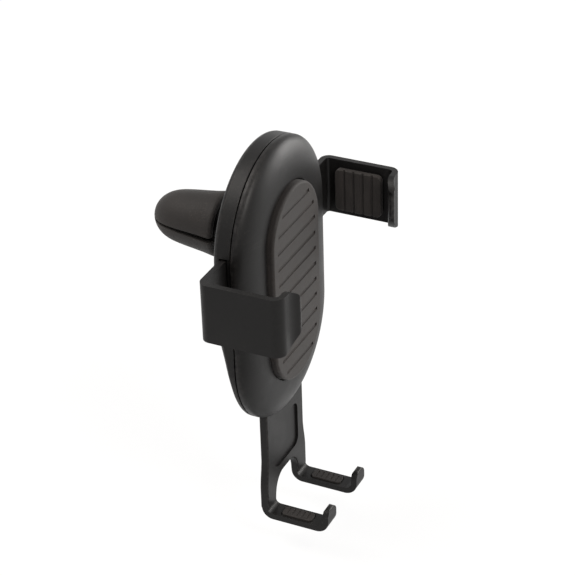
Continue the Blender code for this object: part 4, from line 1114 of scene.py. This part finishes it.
class HOLDER_OT_hook_pads(bpy.types.Operator):
    """Builds the ribbed rubber pads in the hooks"""

    bl_idname = "holder.hook_pads"
    bl_label = "Hook pads"

    def execute(self, context):
        for name in ("left_hook_pad", "right_hook_pad"):
            low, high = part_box(name)
            outline = rounded_rectangle((low.x, low.y), (high.x, high.y), HOOK_PAD_CORNER)
            pad = prism(name + "_finished", outline, "Z", low.z, high.z)
            soften(pad, HOOK_PAD_EDGE, 3)
            for y in between(low.y, high.y, HOOK_PAD_GROOVES):
                shape = [(v, u) for u, v in groove_section(HOOK_PAD_GROOVE, y, high.z, -1.0)]
                cut(pad, prism("pad_groove", shape, "X", low.x + HOOK_PAD_GROOVE_END,
                               high.x - HOOK_PAD_GROOVE_END))
            settle(pad)
            place(pad, "tray", name, matt_rubber("matt rubber pads", PAD_ROUGHER))
        return {"FINISHED"}


def build_front_cover():
    """Domed front half of the head, with the gear's post, the tray's guides and the screws' bosses."""
    sizes = bpy.context.scene.holder_sizes
    radius = sizes.head_radius
    side_y = PARTING_Y - COVER_SIDE
    inner = sizes.pad_radius + CLEAR
    start = inner + COVER_FLAT
    profile = [(inner, RECESS_Y)]
    profile += [(inner + out * MM, FACE_Y + back * MM) for out, back in PAD_RECESS_EDGE]
    steps = 20
    for k in range(steps + 1):
        angle = math.radians(90.0 * k / steps)
        profile.append((start + (radius - start) * math.sin(angle),
                        side_y - (side_y - FACE_Y) * math.cos(angle)))
    wall_radius = radius - RIM_WALL
    profile += [(radius, COVER_RIM_Y - SEAM_BREAK), (radius - SEAM_BREAK, COVER_RIM_Y)]
    profile += [(wall_radius, COVER_RIM_Y), (wall_radius, COVER_RIM_Y - COVER_RIM_DEPTH)]
    profile += [(wall_radius - COVER_RIM_SLOPE, COVER_INNER_Y)]
    cover = loft("front_cover_finished", [[(x, y, z) for x, z in stadium(r)] for r, y in profile])

    root_y = COVER_INNER_Y - SUNK
    slide_x = sizes.tray_half_width + CLEAR
    fuse(cover, cylinder("post", (0.0, ARM_Z), GEAR_POST_RADIUS, root_y, ARM_BACK_Y))
    for side in (-1.0, 1.0):
        ends = sorted((side * slide_x, side * (slide_x + TRAY_GUIDE_WALL)))
        fuse(cover, block("guide", (ends[0], root_y, TRAY_GUIDE_LOW_Z),
                          (ends[1], TRAY_BACK_Y - TRAY_GUIDE_SHORT, TRAY_GUIDE_TOP_Z)))
    boss_end = SCREW_SEAT_Y - SCREW_SEAT_FLOOR - CLEAR
    for x, z in SCREWS:
        spot = (x * MM, z * MM)
        fuse(cover, cylinder("boss", spot, COVER_BOSS_RADIUS, root_y, boss_end))
        cut(cover, cylinder("pilot", spot, SCREW_HOLE_RADIUS, COVER_INNER_Y - SCREW_PILOT_BITE,
                            boss_end + OVER, SCREW_HOLE_STEPS))
    cut(cover, block("slot", (-slide_x, COVER_INNER_Y, HEAD_LOWER_Z - radius - BELOW_HEAD),
                     (slide_x, PARTING_Y + COVER_SLOT_PAST, COVER_SLOT_Z)))
    reach = ARM_SLOT_HALF - CLEAR
    for side in (-1.0, 1.0):
        ends = sorted((side * (wall_radius + TONGUE_INSET), side * (radius - CLEAR)))
        fuse(cover, block("tongue", (ends[0], COVER_RIM_Y - SUNK, ARM_Z - reach),
                          (ends[1], ARM_FRONT_Y - CLEAR, ARM_Z + reach)))
    return settle(cover)


class HOLDER_OT_front_cover(bpy.types.Operator):
    """Builds the domed front half of the head"""

    bl_idname = "holder.front_cover"
    bl_label = "Front cover"

    def execute(self, context):
        place(build_front_cover(), "head", "front_cover", satin_plastic())
        return {"FINISHED"}


class HOLDER_OT_front_pad(bpy.types.Operator):
    """Builds the soft pad on the head's front, with level grooves in its face"""

    bl_idname = "holder.front_pad"
    bl_label = "Front pad"

    def execute(self, context):
        radius = context.scene.holder_sizes.pad_radius
        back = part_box("front_pad")[1].y
        rings = [(radius, back), (radius, SEAT_Y + FRONT_PAD_EDGE)]
        steps = 8
        for k in range(1, steps + 1):
            angle = math.radians(90.0 * k / steps)
            rings.append((radius - FRONT_PAD_EDGE * (1.0 - math.cos(angle)),
                          SEAT_Y + FRONT_PAD_EDGE * (1.0 - math.sin(angle))))
        pad = loft("front_pad_finished", [[(x, y, z) for x, z in stadium(r)] for r, y in rings])
        low_z = HEAD_LOWER_Z - radius + FRONT_PAD_MARGIN
        high_z = HEAD_UPPER_Z + radius - FRONT_PAD_MARGIN
        for k in range(FRONT_PAD_GROOVES):
            z = low_z + (high_z - low_z) * k / (FRONT_PAD_GROOVES - 1)
            past = max(z - HEAD_UPPER_Z, HEAD_LOWER_Z - z, 0.0)
            reach = math.sqrt(radius * radius - past * past) - FRONT_PAD_GROOVE_END
            shape = groove_section(FRONT_PAD_GROOVE, z, SEAT_Y, 1.0)
            cut(pad, prism("groove", shape, "X", -reach, reach))
        settle(pad)
        place(pad, "head", "front_pad", matt_rubber("matt rubber pads", PAD_ROUGHER))
        return {"FINISHED"}


def shell_depth(z):
    """How far the shell's back stands behind its rim: full over the arms, less towards its foot."""
    full = SHELL_BACK_Y - SHELL_RIM_Y
    points = [(a * MM, b * MM) for a, b in SHELL_DEPTHS] + [(SHELL_FULL_Z, full)]
    if z <= points[0][0]:
        return points[0][1]
    for (z0, d0), (z1, d1) in zip(points, points[1:]):
        if z <= z1:
            return d0 + (d1 - d0) * (z - z0) / (z1 - z0)
    return full


def share_below(z, start, reach):
    """How far a height lies below a start, as a share of a reach, from 0 to 1."""
    return max(0.0, min(1.0, (start - z) / reach))


def shell_skin(radius, sides):
    """Outer skin of the rear shell, from its rim to its back. Its sides and edge soften downwards."""
    loops = []
    for k, inset in enumerate(SHELL_INSETS):
        loop = []
        for x, z in stadium(radius - inset * MM, sides):
            depth = shell_depth(z)
            lower = share_below(z, SHELL_SOFT_Z, SHELL_SOFT_REACH)
            edge = SHELL_EDGE + (SHELL_FOOT_EDGE - SHELL_EDGE) * lower
            wall = SHELL_SIDE_SHARE * (1.0 - lower / 2.0) * depth
            reach = max(0.0, 1.0 - inset * MM / edge)
            y = SHELL_RIM_Y + wall + (depth - wall) * math.sqrt(max(0.0, 1.0 - reach * reach))
            if k < 2:
                y = SHELL_RIM_Y + k * SEAM_BREAK
            loop.append((x, y, z))
        loops.append(loop)
    return loft("rear_shell_finished", loops, top=HEAD_STEPS // 2)


def shell_room(radius, sides):
    """Hollow of the rear shell. Its wall thins towards the foot."""
    wall_radius = radius - RIM_WALL
    loops = []
    for r, part in ((wall_radius, None), (wall_radius, SHELL_ROOM_SHARE),
                    (wall_radius - SHELL_ROOM_EDGE, 1.0)):
        loop = []
        for x, z in stadium(r, sides):
            foot = share_below(z, SHELL_FULL_Z, SHELL_THIN_REACH)
            deep = shell_depth(z) - (SHELL_WALL - (SHELL_WALL - SHELL_FOOT_WALL) * foot)
            loop.append((x, SHELL_RIM_Y - OVER if part is None else SHELL_RIM_Y + deep * part, z))
        loops.append(loop)
    return loft("room", loops, top=HEAD_STEPS // 2)


def ball_point(radius, degrees):
    """Point (radius, y) of a profile about the ball's centre, with 0 degrees towards the clip."""
    angle = math.radians(degrees)
    return (radius * math.sin(angle), BALL_Y + radius * math.cos(angle))


def build_rear_shell():
    """Rounded back half of the head, with the bars' guides, the screws' seats and the ball's socket."""
    sizes = bpy.context.scene.holder_sizes
    radius = sizes.head_radius
    sides = [z * MM for z in SHELL_SIDES]
    shell = shell_skin(radius, sides)
    cut(shell, shell_room(radius, sides))
    wide = sizes.tray_half_width + CLEAR
    under = HEAD_LOWER_Z - radius - BELOW_HEAD
    front = SHELL_RIM_Y - OVER
    cut(shell, block("slide", (-wide, front, under), (wide, TRAY_BACK_Y + CLEAR, SHELL_SLIDE_Z)))
    cut(shell, block("notch", (-wide, front - OVER, under - OVER), (wide, SHELL_BACK_Y, SHELL_NOTCH_Z)))
    for side in (-1.0, 1.0):
        ends = sorted((side * (radius - ARM_SLOT_IN), side * (radius + ARM_SLOT_OUT)))
        cut(shell, block("arm_notch", (ends[0], front, ARM_Z - ARM_SLOT_HALF),
                         (ends[1], SHELL_INNER_Y, ARM_Z + ARM_SLOT_HALF)))
    root_y = SHELL_INNER_Y + SUNK
    reach = RACK_ROOT + RACK_BAR_WIDTH + CLEAR
    for side in (-1.0, 1.0):
        ends = sorted((ARM_Z + side * reach, ARM_Z + side * (reach + BAR_GUIDE_WALL)))
        fuse(shell, block("guide", (-BAR_GUIDE_HALF, ARM_FRONT_Y + BAR_GUIDE_GAP, ends[0]),
                          (BAR_GUIDE_HALF, root_y, ends[1])))
    for x, z in SCREWS:
        spot = (x * MM, z * MM)
        fuse(shell, cylinder("boss", spot, SHELL_BOSS_RADIUS, SCREW_SEAT_Y - SCREW_SEAT_FLOOR, root_y))
        cut(shell, cylinder("seat", spot, SCREW_SEAT_RADIUS, SCREW_SEAT_Y, SHELL_BACK_Y + SCREW_SEAT_PAST))
        cut(shell, cylinder("hole", spot, SCREW_HOLE_RADIUS, SCREW_SEAT_Y - SCREW_HOLE_DEPTH,
                            SCREW_SEAT_Y + OVER, SCREW_HOLE_STEPS))
    socket = [(SOCKET_RADIUS, SHELL_BACK_Y - SUNK), (SOCKET_RADIUS, CUP_RIM_Y - SOCKET_EDGE),
              (SOCKET_RADIUS - SOCKET_EDGE, CUP_RIM_Y)]
    cup = [ball_point(CUP_RADIUS, CUP_BACK_DEGREES - CUP_SWEEP_DEGREES * k / CUP_STEPS)
           for k in range(CUP_STEPS + 1)]
    fuse(shell, lathe("socket", socket, (0.0, 0.0), ROUND_STEPS))
    cut(shell, lathe("cup", cup, (0.0, 0.0), ROUND_STEPS))
    return settle(shell)


class HOLDER_OT_rear_shell(bpy.types.Operator):
    """Builds the rounded back half of the head with the ball joint's socket"""

    bl_idname = "holder.rear_shell"
    bl_label = "Rear shell"

    def execute(self, context):
        place(build_rear_shell(), "head", "rear_shell", satin_plastic())
        return {"FINISHED"}


def screw_profile():
    """Screw from its tip over its thread to its low domed head, as (radius, y)."""
    seat = SCREW_SEAT_Y + CLEAR
    dome_y = seat + SCREW_HEAD_HEIGHT - SCREW_HEAD_DOME
    end = COVER_INNER_Y + CLEAR
    profile = [(SCREW_TIP_RADIUS, end), (SCREW_RADIUS, end + SCREW_TIP_LENGTH)]
    for k in range(SCREW_TURNS):
        y = end + SCREW_THREAD_START + SCREW_THREAD_PITCH * k
        profile += [(SCREW_RADIUS, y), (SCREW_ROOT_RADIUS, y + SCREW_THREAD_FLANK)]
    profile += [(SCREW_RADIUS, seat - SCREW_NECK), (SCREW_RADIUS, seat)]
    profile += [(SCREW_HEAD_RADIUS, seat), (SCREW_HEAD_RADIUS, dome_y)]
    steps = 8
    for k in range(1, steps + 1):
        angle = math.radians(90.0 * k / steps)
        profile.append((SCREW_HEAD_FLAT + (SCREW_HEAD_RADIUS - SCREW_HEAD_FLAT) * math.cos(angle),
                        dome_y + SCREW_HEAD_DOME * math.sin(angle)))
    return profile


class HOLDER_OT_screws(bpy.types.Operator):
    """Builds the four cross-headed screws in the back of the head"""

    bl_idname = "holder.screws"
    bl_label = "Housing screws"

    def execute(self, context):
        top = SCREW_SEAT_Y + CLEAR + SCREW_HEAD_HEIGHT
        half = CROSS_HALF
        arm = CROSS_REACH
        cross = [(half, half), (arm, half), (arm, -half), (half, -half), (half, -arm), (-half, -arm),
                 (-half, -half), (-arm, -half), (-arm, half), (-half, half), (-half, arm), (half, arm)]
        for index, (x, z) in enumerate(SCREWS):
            name = "housing_screw_" + str(index + 1)
            screw = lathe(name + "_finished", screw_profile(), (x * MM, z * MM), SCREW_STEPS)
            turned = [Vector(p) for p in cross]
            for point in turned:
                point.rotate(Matrix.Rotation(CROSS_FIRST_TURN + CROSS_NEXT_TURN * index, 2))
            outline = [(x * MM + p.x, z * MM + p.y) for p in turned]
            cut(screw, prism("drive", outline, "Y", top - CROSS_DEPTH, top + OVER))
            settle(screw)
            place(screw, "head", name, screw_steel())
        return {"FINISHED"}


class HOLDER_OT_lock_nut(bpy.types.Operator):
    """Builds the ribbed ring nut of the ball joint"""

    bl_idname = "holder.lock_nut"
    bl_label = "Lock nut"

    def execute(self, context):
        cavity = NUT_CAVITY_RADIUS
        bore = NUT_BORE_RADIUS
        start = SHELL_BACK_Y + CLEAR
        step_y = CUP_RIM_Y + CLEAR
        first = math.degrees(math.acos((step_y - BALL_Y) / cavity))
        profile = [(bore + NUT_BORE_EDGE, start), (bore, start + NUT_BORE_EDGE), (bore, step_y)]
        profile += [ball_point(cavity, first + (NUT_LIP_DEGREES - first) * k / 10) for k in range(11)]
        profile += [ball_point(cavity + out * MM, degrees) for out, degrees in NUT_RIM]
        side = context.scene.holder_sizes.nut_radius
        ribbed = len(profile)
        for y, edge in ((BALL_Y + NUT_SHOULDER, NUT_SIDE_TOP), (start, NUT_SIDE_FOOT)):
            profile += [(side + out * MM, y + up * MM) for out, up in edge]
        around = NUT_RIBS * NUT_RIB_STEPS
        loops = []
        for k, (radius, y) in enumerate(profile):
            depth = NUT_RIB_DEPTH if ribbed <= k < len(profile) - 1 else 0.0
            loop = []
            for i in range(around):
                angle = 2.0 * math.pi * i / around
                r = radius - depth * max(0.0, -math.cos(NUT_RIBS * angle)) ** NUT_RIB_FULLNESS
                loop.append((r * math.cos(angle), y, r * math.sin(angle)))
            loops.append(loop)
        nut = settle(loft("lock_nut_finished", loops, closed=True))
        place(nut, "nut", "lock_nut", satin_plastic())
        return {"FINISHED"}


def clip_outline():
    """Radius of the rubber jaws along their length, on one smooth line through the listed points."""
    sizes = bpy.context.scene.holder_sizes
    points = [(a * sizes.clip_length, r * sizes.clip_radius) for a, r in CLIP_PROFILE]
    slopes = []
    for k in range(len(points)):
        a = points[max(0, k - 1)]
        b = points[min(len(points) - 1, k + 1)]
        slopes.append((b[1] - a[1]) / (b[0] - a[0]))
    slopes[1] = 0.0
    slack = 1e-9
    result = []
    for i in range(JAW_SECTIONS + 1):
        along = points[-1][0] * (1.0 - (1.0 - i / JAW_SECTIONS) ** JAW_TIP_CROWDING)
        k = next(k for k in range(len(points) - 1) if along <= points[k + 1][0] + slack)
        (d0, r0), (d1, r1) = points[k], points[k + 1]
        w = d1 - d0
        t = (along - d0) / w
        radius = r0 * (2 * t ** 3 - 3 * t ** 2 + 1) + r1 * (3 * t ** 2 - 2 * t ** 3)
        radius += w * slopes[k] * (t ** 3 - 2 * t ** 2 + t) + w * slopes[k + 1] * (t ** 3 - t ** 2)
        result.append((along, radius))
    return result


def radius_at(outline, distance):
    """Radius at a distance from the jaws' base, between the points of an outline."""
    for (d0, r0), (d1, r1) in zip(outline, outline[1:]):
        if distance <= d1:
            return r0 + (r1 - r0) * (distance - d0) / (d1 - d0)
    return outline[-1][1]


def half_round(name, stations, side, steps):
    """Skin through sections bounded by a circle and by a level line. Stations are (y, radius, level)."""
    loops = []
    for y, radius, level in stations:
        first = math.asin(min(0.98, level / radius))
        loop = []
        for k in range(steps + 1):
            angle = first + (math.pi - 2.0 * first) * k / steps
            loop.append((radius * math.cos(angle), y, side * radius * math.sin(angle)))
        loops.append(loop)
    return loft(name, loops)


def build_jaw(name, side, base):
    """One rubber jaw over its tongue. Side is 1 above the slot and -1 below, base is the slot's half
    height where it starts."""
    clip_length = bpy.context.scene.holder_sizes.clip_length
    outline = clip_outline()

    def level(distance):
        return base + (JAW_SLOT_TIP - base) * distance / clip_length

    stations = [(CLIP_BASE_Y + d, r, level(d)) for d, r in outline]
    boot = half_round(name, stations, side, JAW_STEPS)
    soften(boot, JAW_EDGE, 3, 55.0)
    cut(boot, cylinder("hub_pocket", (0.0, 0.0), HUB_POCKET_RADIUS, CLIP_BASE_Y - OVER,
                       CLIP_BASE_Y + HUB_POCKET_DEPTH, ROUND_STEPS))
    start = CLIP_BASE_Y + OVER
    room = []
    for k in range(TONGUE_SECTIONS + 1):
        y = start + (TONGUE_END_Y - start) * k / TONGUE_SECTIONS
        end = CLEAR if k == TONGUE_SECTIONS else 0.0
        room.append((y + end, radius_at(outline, y - CLIP_BASE_Y) - JAW_WALL, TONGUE_LEVEL))
    cut(boot, half_round("tongue_room", room, side, TONGUE_STEPS))
    for k in range(JAW_GROOVES):
        distance = JAW_GROOVE_START + JAW_GROOVE_PITCH * k
        reach = radius_at(outline, distance) - JAW_WALL
        section = groove_section(JAW_GROOVE, CLIP_BASE_Y + distance, side * level(distance), side)
        cut(boot, prism("groove", [(v, u) for u, v in section], "X", -reach, reach))
    return settle(boot, 38.0)


class HOLDER_OT_jaws(bpy.types.Operator):
    """Builds the two rubber jaws of the vent clip"""

    bl_idname = "holder.jaws"
    bl_label = "Rubber jaws"

    def execute(self, context):
        for name, side, base in (("upper_jaw_boot", 1.0, UPPER_SLOT_BASE),
                                 ("lower_jaw_boot", -1.0, LOWER_SLOT_BASE)):
            boot = build_jaw(name + "_finished", side, base)
            place(boot, "clip", name, matt_rubber("matt rubber jaws"))
        return {"FINISHED"}


class HOLDER_OT_inner_parts(bpy.types.Operator):
    """Gives the gear, the ball's seat, the ball stud and the clip's core their materials"""

    bl_idname = "holder.inner_parts"
    bl_label = "Inner parts"

    def execute(self, context):
        for node in ("drive_pinion", "ball_seat"):
            dress(node, gear_plastic())
        for node in ("ball_stud", "clip_core"):
            dress(node, satin_plastic())
        return {"FINISHED"}


def area_lamp(name, watts, size, spot, tint):
    data = bpy.data.lights.new(name, "AREA")
    data.shape = "DISK"
    data.size = size
    data.energy = watts
    data.color = tint
    lamp = bpy.data.objects.new(name, data)
    lamp.location = spot
    lamp.rotation_mode = "QUATERNION"
    lamp.rotation_quaternion = (Vector(LAMP_TARGET) - Vector(spot)).to_track_quat("-Z", "Y")
    bpy.context.scene.collection.objects.link(lamp)


def seen_directly(graph):
    """1 where the camera, a reflection or a view through glass sees the surface, 0 for other light."""
    paths = graph.add("ShaderNodeLightPath").outputs
    return graph.maths("MAXIMUM", paths["Is Camera Ray"],
                       graph.maths("MAXIMUM", paths["Is Glossy Ray"], paths["Is Transmission Ray"]))


class HOLDER_OT_stage(bpy.types.Operator):
    """Sets the pale floor, the lamps, the white surroundings and the camera"""

    bl_idname = "holder.stage"
    bl_label = "Stage"

    def execute(self, context):
        scene = context.scene
        look = scene.holder_stage
        z = CAD_BOX[0].z - look.floor_drop
        square = [(-1.0, -1.0), (1.0, -1.0), (1.0, 1.0), (-1.0, 1.0)]
        floor = make_mesh("floor", [(x * FLOOR_REACH, y * FLOOR_REACH, z) for x, y in square], [(0, 1, 2, 3)])
        material, graph, shader = new_material("pale floor", look.floor)
        speckle = noise(graph, FLOOR_SPECKLE, 3.0)
        set_colour(graph, shader, tinted(look.floor, 0.97), ((speckle, look.floor),))
        shader["Roughness"].default_value = 0.9
        shader["Specular IOR Level"].default_value = 0.1
        nodes = material.node_tree.nodes
        glow = graph.add("ShaderNodeEmission", {"Color": WHITE, "Strength": 1.0})
        amount = graph.maths("MULTIPLY", seen_directly(graph), look.floor_glow)
        both = graph.add("ShaderNodeMixShader", {0: amount, 1: nodes["Principled BSDF"].outputs[0],
                                                 2: glow.outputs[0]})
        graph.join(both.outputs[0], nodes["Material Output"].inputs["Surface"])
        floor.data.materials.append(material)

        world = bpy.data.worlds.new("studio")
        world.use_nodes = True
        scene.world = world
        graph = Graph(world.node_tree)
        background = graph.nodes["Background"]
        background.inputs["Color"].default_value = ROOM_LIGHT
        background.inputs["Strength"].default_value = ROOM_STRENGTH
        white = graph.add("ShaderNodeBackground", {"Color": WHITE, "Strength": 1.0})
        both = graph.add("ShaderNodeMixShader", {0: seen_directly(graph), 1: background.outputs[0],
                                                 2: white.outputs[0]})
        graph.join(both.outputs[0], graph.nodes["World Output"].inputs["Surface"])
        for name, power_name, size, spot, tint in LAMPS:
            area_lamp(name, getattr(look, power_name), size, spot, tint)

        data = bpy.data.cameras.new("camera")
        data.sensor_width = CAMERA_SENSOR
        data.lens = CAMERA_LENS
        data.clip_start = 0.01
        data.clip_end = 50.0
        camera = bpy.data.objects.new("camera", data)
        camera.location = CAMERA_PLACE
        camera.rotation_euler = [math.radians(turn) for turn in CAMERA_TURNS]
        scene.collection.objects.link(camera)
        scene.camera = camera
        scene.view_settings.view_transform = "Standard"
        return {"FINISHED"}


OPERATORS = (
    HOLDER_OT_arms, HOLDER_OT_arm_pads, HOLDER_OT_tray, HOLDER_OT_hook_pads, HOLDER_OT_front_cover,
    HOLDER_OT_front_pad, HOLDER_OT_rear_shell, HOLDER_OT_screws, HOLDER_OT_lock_nut, HOLDER_OT_jaws,
    HOLDER_OT_inner_parts, HOLDER_OT_stage,
)


class HOLDER_PT_panel(bpy.types.Panel):
    """Lists the sizes, the finishes and the pieces"""

    bl_idname = "HOLDER_PT_panel"
    bl_label = "Vent Holder"
    bl_space_type = "VIEW_3D"
    bl_region_type = "UI"
    bl_category = "Vent Holder"

    def draw(self, context):
        layout = self.layout
        for group in (context.scene.holder_sizes, context.scene.holder_finish, context.scene.holder_stage):
            column = layout.column(align=True)
            for name in group.__annotations__:
                column.prop(group, name)
        column = layout.column(align=True)
        for operator in OPERATORS:
            column.operator(operator.bl_idname)


GROUPS = (("holder_sizes", HolderSizes), ("holder_finish", HolderFinish), ("holder_stage", HolderStage))


def register():
    for name, group in GROUPS:
        bpy.utils.register_class(group)
        setattr(bpy.types.Scene, name, bpy.props.PointerProperty(type=group))
    for operator in OPERATORS:
        bpy.utils.register_class(operator)
    bpy.utils.register_class(HOLDER_PT_panel)


def unregister():
    bpy.utils.unregister_class(HOLDER_PT_panel)
    for operator in reversed(OPERATORS):
        bpy.utils.unregister_class(operator)
    for name, group in reversed(GROUPS):
        delattr(bpy.types.Scene, name)
        bpy.utils.unregister_class(group)


def main():
    register()
    bpy.ops.holder.arms()
    bpy.ops.holder.arm_pads()
    bpy.ops.holder.tray()
    bpy.ops.holder.hook_pads()
    bpy.ops.holder.front_cover()
    bpy.ops.holder.front_pad()
    bpy.ops.holder.rear_shell()
    bpy.ops.holder.screws()
    bpy.ops.holder.lock_nut()
    bpy.ops.holder.jaws()
    bpy.ops.holder.inner_parts()
    bpy.ops.holder.stage()


if __name__ == "__main__":
    main()
